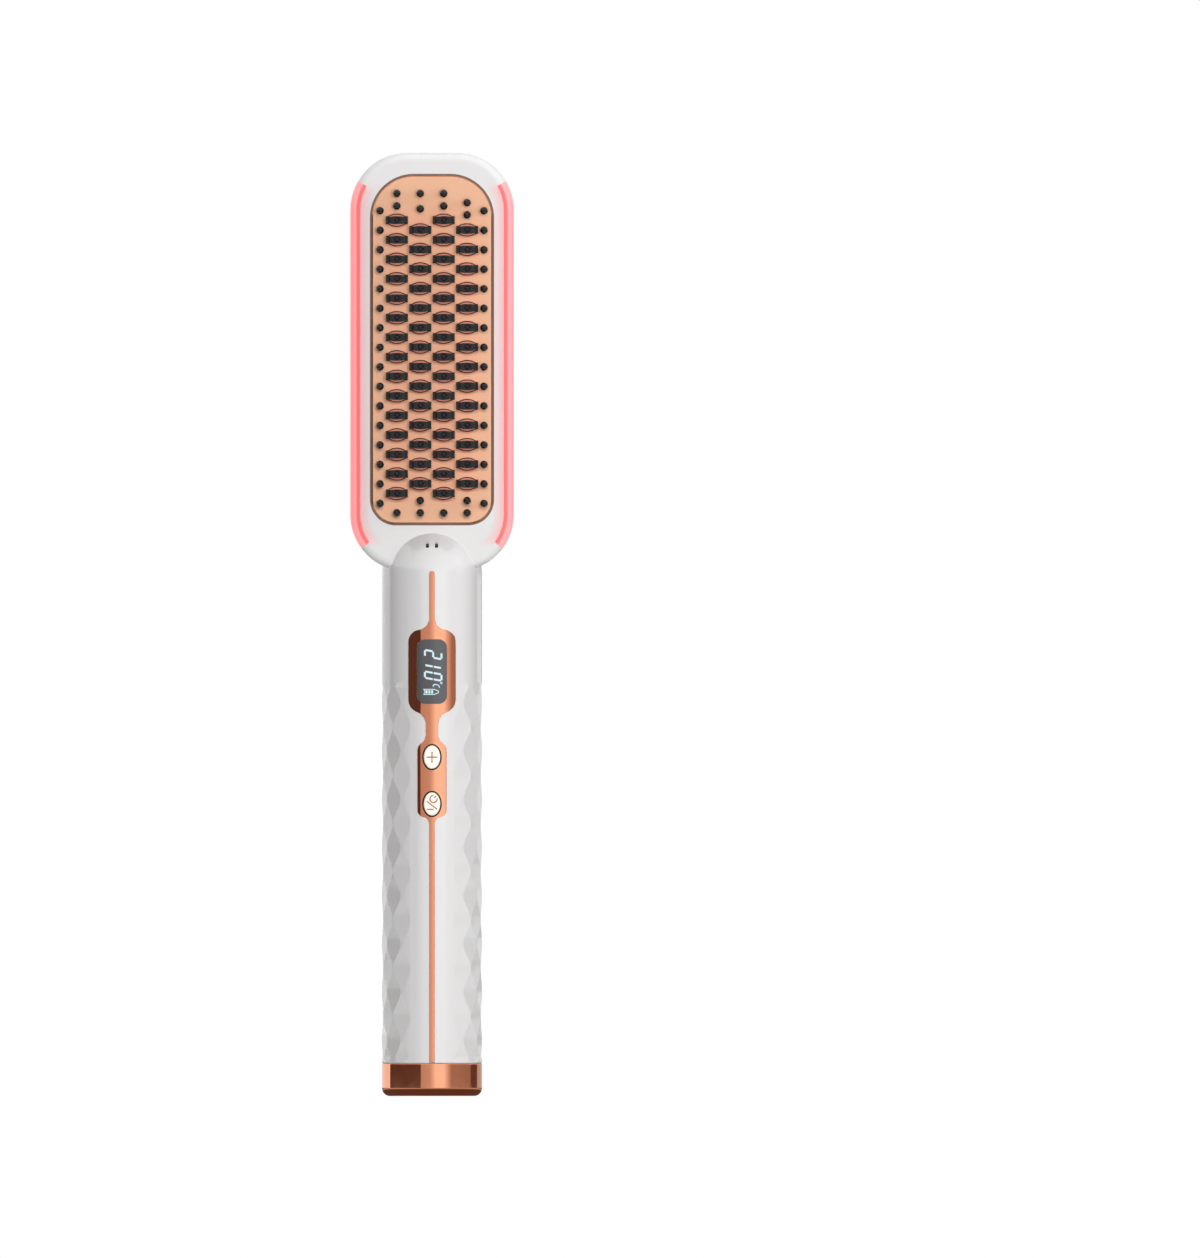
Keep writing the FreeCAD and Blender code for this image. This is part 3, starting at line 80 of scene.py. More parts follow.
# The segments that each digit lights: top, right pair, bottom, left pair and middle are a to g
LIT_SEGMENTS = {"0": "abcdef", "1": "bc", "2": "abged"}

# The digits on the display, each with the share of a digit's width that it takes
SHOWN_DIGITS = (("2", 1.0), ("1", 0.7), ("0", 1.0))

# How far the digits and the unit lean over, as a share of their height
LEAN_SHARE = 0.18

# Powers that make a dim card's red, green and blue warm
WARM = (1.0, 1.2, 1.28)

# Light of the reflection wall at bearings in degrees from the camera, to the right
WALL_LIGHTS = (
    (-180, 0.9), (-112.4, 1.0), (-112, 0.1), (-25.8, 0.1), (-25.4, 0.52), (-6, 0.6),
    (0, 0.76), (9, 1.1), (27, 1.1), (45, 0.37), (99.8, 0.32), (100.2, 0.11),
    (126, 0.11), (128, 0.5), (160, 0.57), (172, 0.57), (178, 0.85), (180, 0.9),
)

# Light of the floor card at distances from the handle's axis
FLOOR_LIGHTS = ((0.01, 0.1), (0.022, 0.1), (0.024, 0.5), (0.044, 0.5), (0.048, 0.1), (0.1, 0.1), (0.13, 0.6))

# Each lamp's watts, its width and height, its bearing in degrees from the camera to the right, its own
# height, its distance from the handle's axis and the height that it is aimed at
LAMPS = {
    "front_lamp": (32.5, (0.3, 0.3), 1.5, 0.3, 2.0, 0.2),
    "side_lamp": (6.0, (0.4, 0.7), 70, 0.5, 1.2, 0.18),
    "back_lamp": (19.0, (0.5, 0.5), 180, 0.4, 2.0, 0.2),
    "back_side_lamp": (9.0, (0.4, 0.7), -144, 0.5, 1.2, 0.18),
    "top_lamp": (9.5, (0.4, 0.4), 0, 1.6, 0.0, 0.1),
}


def linear(hex_colour):
    """Turns an sRGB hex value to linear red, green and blue with full alpha."""
    srgb = np.array([int(hex_colour[k : k + 2], 16) for k in (1, 3, 5)]) / 255
    light = np.where(srgb <= 0.04045, srgb / 12.92, ((srgb + 0.055) / 1.055) ** 2.4)
    return (*light.tolist(), 1.0)


def length(name, description, default):
    """A length that a user can change."""
    return FloatProperty(name=name, description=description, default=default, precision=5, unit="LENGTH")


def colour(name, description, hex_colour):
    """A colour that a user can change, given as an sRGB hex value."""
    settings = {"default": linear(hex_colour), "subtype": "COLOR", "size": 4, "min": 0.0, "max": 1.0}
    return FloatVectorProperty(name=name, description=description, **settings)


class BrushSizes(bpy.types.PropertyGroup):
    """Sizes of the strips' light, the comb's trim, the display, the buttons, the finishes and the picture"""

    head_length: length("Head length", "From the head's lowest to its highest point", 0.1287)
    head_corner: length("Head corner", "Radius of the head's rounded corners", 0.0175)
    strip_width: length("Strip width", "Width of a light strip, seen from the front", 0.003)
    strip_inner: length("Lit edge", "Width of the brighter inner edge of a light strip", 0.0011)
    # The strips' glow is painted into the shell's colour this far from them
    glow_reach: length("Glow reach", "How far the strips' light spreads in the shell", 0.0036)
    plate_edge: length("Plate edge", "Depth of the heating plate's polished round edge", 0.0006)
    plate_lower: length("Plate lower corner", "Radius of the heating plate's lower corners", 0.0075)
    plate_upper: length("Plate upper corner", "Radius of the heating plate's upper corners", 0.013)
    joint_width: length("Joint width", "Width of the joint round the heating plate", 0.0005)
    rim_width: length("Fin rim width", "Width of the dark rim round a heating fin", 0.00028)
    rim_overlap: length("Fin rim overlap", "How much of the rim lies on the fin", 0.00012)
    rim_height: length("Fin rim height", "How far the rim stands out of the fin", 0.00008)
    tip_rise: length("Tip rise", "How far a tip's barrel and tabs stand forward", 0.00035)
    tip_tab: length("Tip tab", "Length of the tab at each end of a tip", 0.00086)
    tip_lip: length("Tip lip", "Radius of the open middle round a tip's nub", 0.00088)
    tip_gap: length("Tip gap", "Gap between a tip's barrel and its tab", 0.0002)
    digit_width: length("Digit width", "Between the middles of a digit's left and right segments", 0.00195)
    digit_height: length("Digit height", "Between the middles of a digit's top and bottom segments", 0.0051)
    digit_pitch: length("Digit pitch", "From one digit to the next", 0.00331)
    digit_start: length("Digit start", "From the display's top edge to the first digit", 0.0032)
    digit_foot: length("Digit foot", "Place of the digits' feet beside the handle's middle", -0.00218)
    segment_width: length("Segment width", "Width of one lit segment", 0.0006)
    segment_gap: length("Segment gap", "Gap at each end of a segment", 0.00005)
    unit_height: length("Unit height", "Height of the small temperature unit", 0.0019)
    unit_start: length("Unit start", "From the display's top edge to the temperature unit", 0.0137)
    unit_foot: length("Unit foot", "Place of the unit's foot beside the handle's middle", 0.00038)
    degree_start: length("Degree start", "From the display's top edge to the degree sign", 0.0134)
    degree_foot: length("Degree place", "Place of the degree sign beside the handle's middle", 0.0029)
    battery_width: length("Battery sign width", "Width of the battery sign", 0.00156)
    battery_height: length("Battery sign height", "Height of the battery sign", 0.0045)
    battery_start: length("Battery sign start", "From the display's top edge to the battery sign", 0.01533)
    battery_foot: length("Battery sign foot", "Place of the sign's foot beside the handle's middle", -0.00252)
    button_half_width: length("Button half width", "From a button's middle to its side", 0.00255)
    button_half_height: length("Button half height", "From a button's middle to its upper end", 0.0036)
    seal_width: length("Seal width", "Width of the seal round a button", 0.00042)
    seal_inset: length("Seal inset", "Gap between a button and its seal", 0.00003)
    seal_depth: length("Seal depth", "Thickness of the seal round a button", 0.00036)
    sign_arm: length("Sign arm", "From the middle of the plus sign to its end", 0.00165)
    sign_width: length("Sign stroke", "Width of a stroke of the button signs", 0.00034)
    ink_height: length("Ink height", "How far a print or lit segment stands up", 0.00003)
    peel: length("Orange peel", "Width of the faint waves of a polished moulding", 0.0016)
    coat_grain: length("Coat grain", "Grain of the heating plate's coat", 0.00022)
    nylon_grain: length("Nylon grain", "Grain of the glass-filled nylon", 0.00018)
    trace_pitch: length("Trace pitch", "From one board trace to the next", 0.0012)
    picture_height: length("Picture height", "Height that the camera takes in", 0.3868)
    picture_middle: length("Picture middle", "Height of the picture's middle above the floor", 0.1436)
    axis_left: length("Axis place", "How far left of the picture's middle the handle's axis is", 0.05166)


class BrushColours(bpy.types.PropertyGroup):
    """Colours of the brush's finishes and of the floor"""

    shell: colour("Shell", "White housings and rear panel", "#E3E2E2")
    # Painted light: the strips' glow is painted into the shell's colour beside them, not cast by them
    glow: colour("Glow", "Light of the strips in the shell beside them", "#FF9C9C")
    plating: colour("Plating", "Rose-gold trim, frame and cap", "#FCAE88")
    coat: colour("Plate coat", "Coat of the heating plate", "#EFBA98")
    fin: colour("Fin coat", "Coat of the heating fins", "#DB8F80")
    edge: colour("Plate edge", "Polished edge of the heating plate", "#C98A68")
    # The fin rim's dark colour is painted shade round each fin's front edge
    rim: colour("Fin rim", "Bare dark rim of the heating fins", "#3A1C1C")
    # The joint's grey-brown is painted shade of the gap round the heating plate
    joint: colour("Joint", "Silicone joint round the heating plate", "#7E6A62")
    nylon: colour("Nylon", "Tips and guard pins", "#0B0B0C")
    strip_edge: colour("Strip edge", "Bright inner edge of a light strip", "#DE2626")
    strip_face: colour("Strip face", "Outer part of a light strip", "#D66E70")
    lens: colour("Lens", "Smoked display window", "#555658")
    segment: colour("Segment", "Lit segments and signs of the display", "#D6F1FB")
    button: colour("Button", "Push buttons", "#FEFBF1")
    ink: colour("Ink", "Signs printed on the buttons", "#B0714F")
    # The seals' near-black is painted shade of the gap round each button
    seal: colour("Seal", "Rubber seals round the buttons", "#1C0E0B")
    steel: colour("Steel", "Screws, straps, fuse and port", "#C9C7C2")
    tungsten: colour("Tungsten", "Ion needles behind the vents", "#76736F")
    board: colour("Board", "Solder mask of the circuit boards", "#1F6B3A")
    trace: colour("Trace", "Copper traces under the solder mask", "#3C8C50")
    lamp: colour("Lamp", "Lamps behind the strips", "#FF5A50")
    ceramic: colour("Ceramic", "Heater", "#ECE8DF")
    mica: colour("Mica", "Sheet over the heater", "#8A6A42")
    glass: colour("Glass", "Temperature sensor", "#C98B4A")
    acetal: colour("Acetal", "Plungers and battery cradle", "#8C8E90")
    wrap: colour("Wrap", "Battery cells", "#2E6FA8")
    resin: colour("Resin", "Potted ion generator", "#1D2B52")
    lead: colour("Lead", "Leads to the heater", "#C02A22")
    floor: colour("Floor", "Studio floor", "#F2F1EF")


# Building blocks of the finishes


def add_node(tree, kind, values=None, links=None, **settings):
    """Adds a node with its settings, its sockets' values and links from other nodes' outputs.

    Sockets go by name or number: the colours of a Mix node are inputs 6 and 7, and output 2.
    """
    node = tree.nodes.new("ShaderNode" + kind)
    for name, value in settings.items():
        setattr(node, name, value)
    for socket, value in (values or {}).items():
        node.inputs[socket].default_value = value
    for socket, source in (links or {}).items():
        tree.links.new(source, node.inputs[socket])
    return node


def empty_tree(block):
    """The node tree of a new material or world, with nothing in it."""
    block.use_nodes = True
    block.node_tree.nodes.clear()
    return block.node_tree


def surface(name, values):
    """A material with one surface shader, with the given values on its sockets."""
    material = bpy.data.materials.new(name)
    tree = empty_tree(material)
    shader = add_node(tree, "BsdfPrincipled", values)
    add_node(tree, "OutputMaterial", links={"Surface": shader.outputs["BSDF"]})
    return material, tree, shader


def dim(tint, share):
    """A linear colour with its light cut to a share."""
    return (*(share * value for value in tuple(tint)[:3]), 1.0)


def mottle(tree, shader, tint, share, grain, relief):
    """Mixes a tint with a dimmer one by a noise one grain wide, and raises that noise by a relief."""
    place = add_node(tree, "TexCoord").outputs["Object"]
    noise = add_node(tree, "TexNoise", {"Scale": 1 / grain, "Detail": 4.0}, {"Vector": place})
    tints = {6: tuple(tint), 7: dim(tint, share)}
    mixed = add_node(tree, "Mix", tints, {0: noise.outputs["Fac"]}, data_type="RGBA")
    bump = add_node(tree, "Bump", {"Distance": relief}, {"Height": noise.outputs["Fac"]})
    tree.links.new(mixed.outputs[2], shader.inputs["Base Color"])
    tree.links.new(bump.outputs["Normal"], shader.inputs["Normal"])
    return mixed.outputs[2]


def mottled(name, values, tint, share, grain, relief):
    """A material whose shader has the given values, and a mottled tint with a relief."""
    material, tree, shader = surface(name, values)
    mottle(tree, shader, tint, share, grain, relief)
    return material


def head_reach(tree, sizes):
    """Distance of a point from the core that the head's rounded outline is drawn round.

    The point's offset from the head's middle loses its sign, the core's half sizes are taken off, what is
    negative becomes nothing, and the length of the rest is the distance. On the outline it is the radius
    of the head's corners. The core is far deeper than the brush, so depth doesn't count.
    """
    top, zero = HOUSING_BOX[1], (0.0, 0.0, 0.0)
    middle = (0.0, 0.0, top.z - sizes.head_length / 2)
    core = (top.x - sizes.head_corner, 1.0, sizes.head_length / 2 - sizes.head_corner)
    steps = (
        ("SUBTRACT", middle),
        ("ABSOLUTE", zero),
        ("SUBTRACT", core),
        ("MAXIMUM", zero),
        ("LENGTH", zero),
    )
    place = add_node(tree, "TexCoord").outputs["Object"]
    for operation, other in steps:
        step = add_node(tree, "VectorMath", {1: other}, {0: place}, operation=operation)
        place = step.outputs[0]
    return step.outputs["Value"]


def painted_strip_glow(tree, sizes):
    """Share of the strips' light painted into the shell's colour at a point, as the product of three shares.

    One grows towards a strip's inner edge, one fades at a strip's ends, and one fades from the depth of a
    strip's front to that of its back.
    """
    strongest = 0.6
    edge = sizes.head_corner - sizes.strip_width
    near = {"From Min": edge - sizes.glow_reach, "From Max": edge, "To Max": strongest}
    across = add_node(tree, "MapRange", near, {"Value": head_reach(tree, sizes)})
    place = add_node(tree, "TexCoord").outputs["Object"]
    axes = add_node(tree, "SeparateXYZ", links={"Vector": place}).outputs
    low, high = STRIP_BOX
    middle, half = (low.z + high.z) / 2, (high.z - low.z) / 2
    offset = add_node(tree, "Math", {1: middle}, {0: axes["Z"]}, operation="SUBTRACT")
    height = add_node(tree, "Math", links={0: offset.outputs[0]}, operation="ABSOLUTE")
    fade = {"From Min": half, "From Max": half - sizes.glow_reach}
    along = add_node(tree, "MapRange", fade, {"Value": height.outputs[0]}, interpolation_type="SMOOTHSTEP")
    front = {"From Min": high.y, "From Max": low.y}
    facing = add_node(tree, "MapRange", front, {"Value": axes["Y"]}, interpolation_type="SMOOTHSTEP")
    share = across.outputs[0]
    for other in (along, facing):
        share = add_node(tree, "Math", links={0: share, 1: other.outputs[0]}, operation="MULTIPLY").outputs[0]
    return share


# Finishes of the outside


def moulded_abs(sizes, colours):
    """White ABS, injection moulded in a polished tool.

    It is glossy with faint orange peel, and beside the strips their light is painted into its colour as a
    pink tint.
    """
    values = {"Roughness": 0.2, "IOR": 1.54, "Coat Weight": 1.0, "Coat Roughness": 0.04}
    material, tree, shader = surface("moulded_white_abs", values)
    white = mottle(tree, shader, colours.shell, 0.985, sizes.peel, 4e-6)
    # Painted light: the strips' pink glow is mixed into the shell's base colour beside them
    links = {0: painted_strip_glow(tree, sizes), 6: white}
    tinted = add_node(tree, "Mix", {7: tuple(colours.glow)}, links, data_type="RGBA")
    tree.links.new(tinted.outputs[2], shader.inputs["Base Color"])
    return material


def rose_gold_plating(sizes, colours):
    """Rose-gold plating on polished plastic, bright and mirror-like with a faint haze from wiping."""
    material, tree, shader = surface("rose_gold_plating", {"Metallic": 1.0})
    mottle(tree, shader, colours.plating, 0.97, sizes.peel, 5e-7)
    place = add_node(tree, "TexCoord").outputs["Object"]
    haze = add_node(tree, "TexNoise", {"Scale": 0.5 / sizes.peel, "Detail": 6.0}, {"Vector": place})
    rough = add_node(tree, "MapRange", {"To Min": 0.02, "To Max": 0.06}, {"Value": haze.outputs["Fac"]})
    tree.links.new(rough.outputs[0], shader.inputs["Roughness"])
    return material


def coated_plate(sizes, colours):
    """Aluminium plate with a sprayed rose ceramic coat, satin with a fine grain, and a polished edge.

    The edge mirrors the studio, so it is dark where a dark card faces it. The grain is drawn coarser than
    the flakes of the coat, so that it shows.
    """
    material, tree, shader = surface("coated_aluminium_plate", {})
    coat = mottle(tree, shader, colours.coat, 0.95, sizes.coat_grain, 2e-6)
    place = add_node(tree, "TexCoord").outputs["Object"]
    depth = add_node(tree, "SeparateXYZ", links={"Vector": place}).outputs["Y"]
    coat_end, bare_start = (PLATE_BOX[0].y + share * sizes.plate_edge for share in (0.02, 0.06))
    limits = {"From Min": coat_end, "From Max": bare_start}
    edge = add_node(tree, "MapRange", limits, {"Value": depth}).outputs[0]
    tint = add_node(tree, "Mix", {7: tuple(colours.edge)}, {0: edge, 6: coat}, data_type="RGBA")
    metal = add_node(tree, "MapRange", {"To Min": 0.1, "To Max": 1.0}, {"Value": edge})
    rough = add_node(tree, "MapRange", {"To Min": 0.42, "To Max": 0.08}, {"Value": edge})
    tree.links.new(tint.outputs[2], shader.inputs["Base Color"])
    tree.links.new(metal.outputs[0], shader.inputs["Metallic"])
    tree.links.new(rough.outputs[0], shader.inputs["Roughness"])
    return material


def coated_fins(sizes, colours):
    """Aluminium fins with a deeper rose coat, satin with a fine metallic grain."""
    values = {"Metallic": 0.2, "Roughness": 0.4}
    return mottled("coated_aluminium_fins", values, colours.fin, 0.92, sizes.coat_grain, 2e-6)


def painted_shade_rim(sizes, colours):
    """A rim painted dark as the shade round each fin's front edge, dull with a fine grain."""
    values = {"Metallic": 0.3, "Roughness": 0.5}
    return mottled("painted_shade_fin_rim", values, colours.rim, 0.7, sizes.coat_grain, 1e-6)


def painted_gap_shade_joint(sizes, colours):
    """A grey-brown silicone joint that paints the shade of the gap round the heating plate, dull with a fine
    grain.
    """
    values = {"Roughness": 0.6, "IOR": 1.43}
    return mottled("painted_plate_gap_shade", values, colours.joint, 0.8, sizes.nylon_grain, 2e-6)


def filled_nylon(sizes, colours):
    """Black glass-filled nylon, moulded, with a fine grain and soft highlights."""
    values = {"Roughness": 0.22, "IOR": 1.53, "Specular IOR Level": 0.45}
    return mottled("black_filled_nylon", values, colours.nylon, 0.7, sizes.nylon_grain, 5e-6)


def lit_diffuser(sizes, colours):
    """Milky polycarbonate light guide with red lamps behind it, brightest along its inner edge."""
    values = {"Roughness": 0.25, "IOR": 1.58, "Emission Strength": 1.0}
    material, tree, shader = surface("lit_polycarbonate_diffuser", values)
    inner = sizes.head_corner - sizes.strip_width + sizes.strip_inner
    soft = sizes.strip_inner / 6
    limits = {"From Min": inner - soft, "From Max": inner + soft}
    split = add_node(tree, "MapRange", limits, {"Value": head_reach(tree, sizes)})
    tints = {6: tuple(colours.strip_edge), 7: tuple(colours.strip_face)}
    light = add_node(tree, "Mix", tints, {0: split.outputs[0]}, data_type="RGBA")
    milk = {0: 0.15, 7: (1.0, 1.0, 1.0, 1.0)}
    body = add_node(tree, "Mix", milk, {6: light.outputs[2]}, data_type="RGBA")
    tree.links.new(light.outputs[2], shader.inputs["Emission Color"])
    tree.links.new(body.outputs[2], shader.inputs["Base Color"])
    return material


def smoked_lens(sizes, colours):
    """Smoked polycarbonate window, moulded and hard coated, so grey and glossy with faint waves."""
    values = {"Roughness": 0.12, "IOR": 1.58}
    return mottled("smoked_polycarbonate", values, colours.lens, 0.92, sizes.peel, 1e-6)


def lit_segments(sizes, colours):
    """Lit segments of the display, pale blue light that varies a little from place to place."""
    values = {"Base Color": (0.02, 0.02, 0.02, 1.0), "Roughness": 0.4, "Emission Strength": 1.0}
    material, tree, shader = surface("lit_segments", values)
    place = add_node(tree, "TexCoord").outputs["Object"]
    spots = add_node(tree, "TexNoise", {"Scale": 1 / sizes.digit_width}, {"Vector": place})
    tints = {6: tuple(colours.segment), 7: dim(colours.segment, 0.9)}
    light = add_node(tree, "Mix", tints, {0: spots.outputs["Fac"]}, data_type="RGBA")
    tree.links.new(light.outputs[2], shader.inputs["Emission Color"])
    return material


def cream_abs(sizes, colours):
    """Cream ABS buttons, moulded and lightly polished."""
    values = {"Roughness": 0.3, "IOR": 1.54}
    return mottled("moulded_cream_abs", values, colours.button, 0.985, sizes.peel, 3e-6)


def painted_gap_shade_seal(sizes, colours):
    """A dark seal that paints the shade of the gap round each button, dull with a fine grain."""
    values = {"Roughness": 0.6, "IOR": 1.43}
    return mottled("painted_button_gap_shade", values, colours.seal, 0.7, sizes.nylon_grain, 2e-6)


def copper_ink(sizes, colours):
    """Copper-coloured ink, pad printed, matt with an uneven edge-to-edge cover."""
    values = {"Roughness": 0.55, "Metallic": 0.2}
    return mottled("pad_printed_copper_ink", values, colours.ink, 0.8, sizes.sign_width, 2e-6)


# Finishes of the inside


def plated_steel(sizes, colours):
    """Zinc-plated steel, pressed or turned, pale grey with a blotchy sheen."""
    values = {"Metallic": 1.0, "Roughness": 0.32}
    return mottled("zinc_plated_steel", values, colours.steel, 0.82, sizes.peel, 2e-6)


def drawn_tungsten(sizes, colours):
    """Tungsten wire, drawn and cut, dark grey with a dull shine."""
    values = {"Metallic": 1.0, "Roughness": 0.4}
    return mottled("drawn_tungsten", values, colours.tungsten, 0.75, sizes.nylon_grain, 2e-6)


def masked_board(sizes, colours):
    """Glass-epoxy circuit board under green solder mask, glossy, with traces that shine through."""
    material, tree, shader = surface("solder_masked_board", {"Roughness": 0.3, "IOR": 1.5})
    place = add_node(tree, "TexCoord").outputs["Object"]
    turned = add_node(tree, "Mapping", {"Rotation": (math.pi / 2, 0.0, 0.0)}, {"Vector": place})
    pattern = {"Scale": 1 / sizes.trace_pitch, "Mortar Size": 0.12, "Brick Width": 4.0, "Row Height": 1.0}
    mask, copper = tuple(colours.board), tuple(colours.trace)
    tints = {"Color1": mask, "Color2": dim(mask, 0.9), "Mortar": copper}
    traces = add_node(tree, "TexBrick", pattern | tints, {"Vector": turned.outputs[0]})
    tree.links.new(traces.outputs["Color"], shader.inputs["Base Color"])
    return material


def lamp_epoxy(sizes, colours):
    """Epoxy-capped red lamps, lit from inside."""
    values = {"Roughness": 0.25, "IOR": 1.55, "Emission Strength": 0.6}
    material, tree, shader = surface("lamp_epoxy", values)
    tint = mottle(tree, shader, colours.lamp, 0.9, sizes.segment_width, 1e-6)
    tree.links.new(tint, shader.inputs["Emission Color"])
    return material


def fired_alumina(sizes, colours):
    """Alumina ceramic, pressed and fired, chalky white with a fine grain."""
    values = {"Roughness": 0.7, "IOR": 1.76}
    return mottled("fired_alumina", values, colours.ceramic, 0.93, sizes.coat_grain, 3e-6)


def bonded_mica(sizes, colours):
    """Bonded mica sheet, brown flakes that glint a little."""
    values = {"Roughness": 0.4, "IOR": 1.58}
    return mottled("bonded_mica", values, colours.mica, 0.6, sizes.trace_pitch, 4e-6)


def sensor_glass(sizes, colours):
    """Glass bead over the sensor, amber and glossy with faint streaks."""
    values = {"Roughness": 0.08, "IOR": 1.52}
    return mottled("bead_glass", values, colours.glass, 0.8, sizes.peel, 1e-6)


def grey_acetal(sizes, colours):
    """Grey acetal, moulded, waxy and slightly grained."""
    values = {"Roughness": 0.45, "IOR": 1.48}
    return mottled("moulded_grey_acetal", values, colours.acetal, 0.94, sizes.nylon_grain, 3e-6)


def shrink_wrap(sizes, colours):
    """Blue PVC shrink wrap on the cells, shiny with slight puckers."""
    values = {"Roughness": 0.22, "IOR": 1.54}
    return mottled("pvc_shrink_wrap", values, colours.wrap, 0.9, sizes.peel, 2e-5)


def potting_resin(sizes, colours):
    """Cast epoxy resin, dark blue and glossy with small sinks."""
    values = {"Roughness": 0.18, "IOR": 1.55}
    return mottled("cast_potting_resin", values, colours.resin, 0.85, sizes.trace_pitch, 1e-5)


def silicone_lead(sizes, colours):
    """Red silicone insulation, extruded, soft and matt."""
    values = {"Roughness": 0.6, "IOR": 1.43}
    return mottled("extruded_red_silicone", values, colours.lead, 0.9, sizes.nylon_grain, 3e-6)


# Lines and strokes, flat in x and z


def run(start, end, step):
    """Points along a straight line, no further apart than a step."""
    start, end = np.array(start, float), np.array(end, float)
    count = math.ceil(np.linalg.norm(end - start) / step) + 1
    return np.linspace(start, end, count)


def arc(centre, radius, first, last, count):
    """Points along part of a circle or oval, from one angle to another.

    A point is the centre plus the radius, one or a pair, times the cosine and the sine of its angle.
    """
    turn = np.linspace(first, last, count)
    return np.array(centre) + radius * np.stack((np.cos(turn), np.sin(turn)), axis=-1)


def stroke(path, half_width, closed=False):
    """A flat stroke along a path, as a grid of two points across by as many as the path has along.

    Each point goes to both sides by half the stroke's width there, along the sum of the normals of the
    runs before and after it, divided by one plus their product, which mitres the corners.
    """
    ends = (path[-1:], path[:1]) if closed else (2 * path[:1] - path[1:2], 2 * path[-1:] - path[-2:-1])
    runs = np.diff(np.concatenate((ends[0], path, ends[1])), axis=0)
    runs /= np.linalg.norm(runs, axis=1, keepdims=True)
    normals = np.stack((-runs[:, 1], runs[:, 0]), axis=-1)
    before, after = normals[:-1], normals[1:]
    mitre = (before + after) / (1 + np.sum(before * after, axis=1, keepdims=True))
    sides = np.stack((mitre, -mitre), axis=1) * np.reshape(half_width, (-1, 1, 1))
    grid = path[:, None] + sides
    return np.concatenate((grid, grid[:1])) if closed else grid


def on_round(grids, radius):
    """Lays flat grids on an upright round: y is minus the root of the squared radius less squared x."""
    return [
        np.stack((grid[..., 0], -np.sqrt(radius**2 - grid[..., 0] ** 2), grid[..., 1]), axis=-1)
        for grid in grids
    ]


def on_flat(grids, depth):
    """Lays flat grids on an upright plane at a depth."""
    return [np.insert(grid, 1, depth, axis=-1) for grid in grids]


# Signs of the display and the buttons


def segment(start, end, width, gap):
    """One lit segment: a stroke between two corners of a digit that narrows to blunt ends.

    Half its width at a point is a fifth of the full width plus the distance to the nearer end, and at
    most half the full width.
    """
    path = run(start, end, width / 4)
    reach = np.linalg.norm(path - path[0], axis=1)
    left = np.minimum(reach, reach[-1] - reach)
    inside = left >= gap
    return stroke(path[inside], np.clip(left[inside] + width / 5, 0.0, width / 2))


def digit(sign, width, height, stroke_width, gap):
    """The lit segments of one digit in a cell of a width and height, feet at zero."""
    low, middle, high = 0.0, height / 2, height
    corners = {
        "a": ((0.0, high), (width, high)),
        "b": ((width, middle), (width, high)),
        "c": ((width, low), (width, middle)),
        "d": ((0.0, low), (width, low)),
        "e": ((0.0, low), (0.0, middle)),
        "f": ((0.0, middle), (0.0, high)),
        "g": ((0.0, middle), (width, middle)),
    }
    return [segment(*corners[name], stroke_width, gap) for name in LIT_SEGMENTS[sign]]


def shown(grids, lean, start, foot):
    """Leans signs over, turns them a quarter to the right and puts them on the handle's front.

    A sign's reading direction runs down the handle, from a start below the display's top edge, and its
    upward direction runs to the right, from its foot.
    """
    turned = []
    for grid in grids:
        reading = grid[..., 0] + lean * grid[..., 1]
        turned.append(np.stack((foot + grid[..., 1], LENS_BOX[1].z - start - reading), axis=-1))
    return turned


def temperature_sign(sizes):
    """The digits of the temperature, one after the other."""
    grids = []
    for place, (sign, share) in enumerate(SHOWN_DIGITS):
        box = (share * sizes.digit_width, sizes.digit_height)
        cell = digit(sign, *box, sizes.segment_width, sizes.segment_gap)
        grids += shown(cell, LEAN_SHARE, sizes.digit_start + place * sizes.digit_pitch, sizes.digit_foot)
    return grids


def unit_sign(sizes):
    """The temperature's unit: a letter of two quarter rounds, and a ring for the degree.

    The letter's width is a share of its height, and its rounds' radius a share of that width.
    """
    thin = sizes.segment_width / 2
    tall = sizes.unit_height
    wide = 0.43 * tall
    bend = 0.8 * wide
    upper = arc((bend, tall - bend), bend, math.pi / 2, math.pi, 9)
    lower = arc((bend, bend), bend, math.pi, 1.5 * math.pi, 9)
    letter = stroke(np.concatenate(([(wide, tall)], upper, lower, [(wide, 0.0)])), thin / 2)
    ring = stroke(arc((0.0, 0.0), 0.8 * thin, 0.0, math.tau, 17)[:-1], thin / 3, closed=True)
    grids = shown([letter], LEAN_SHARE, sizes.unit_start, sizes.unit_foot)
    return grids + shown([ring], 0.0, sizes.degree_start, sizes.degree_foot)


def battery_sign(sizes):
    """A battery's outline, with a notched foot and a narrower top, and three bars of charge in it.

    The corners and the bars' ends are shares of the sign's width and height.
    """
    thin = sizes.segment_width / 2
    wide, tall = sizes.battery_width, sizes.battery_height
    body, neck = 0.7 * tall, 0.32 * wide
    notch = (wide / 2, 0.09 * tall)
    corners = ((0, 0), notch, (wide, 0), (wide, body), (wide - neck, tall), (neck, tall), (0, body))
    sides = [run(a, b, thin)[:-1] for a, b in zip(corners, corners[1:] + corners[:1])]
    grids = [stroke(np.concatenate(sides), 0.4 * thin, closed=True)]
    for level in (0.19, 0.38, 0.57):
        bar = run((0.18 * wide, level * tall), (0.82 * wide, level * tall), thin)
        grids.append(stroke(bar, thin))
    return shown(grids, 0.0, sizes.battery_start, sizes.battery_foot)


def plus_sign(arm, half):
    """A level stroke, and an upright one in two halves that meet its sides."""
    ends = (((-arm, 0.0), (arm, 0.0)), ((0.0, -arm), (0.0, -half)), ((0.0, half), (0.0, arm)))
    return [stroke(run(start, end, arm), half) for start, end in ends]


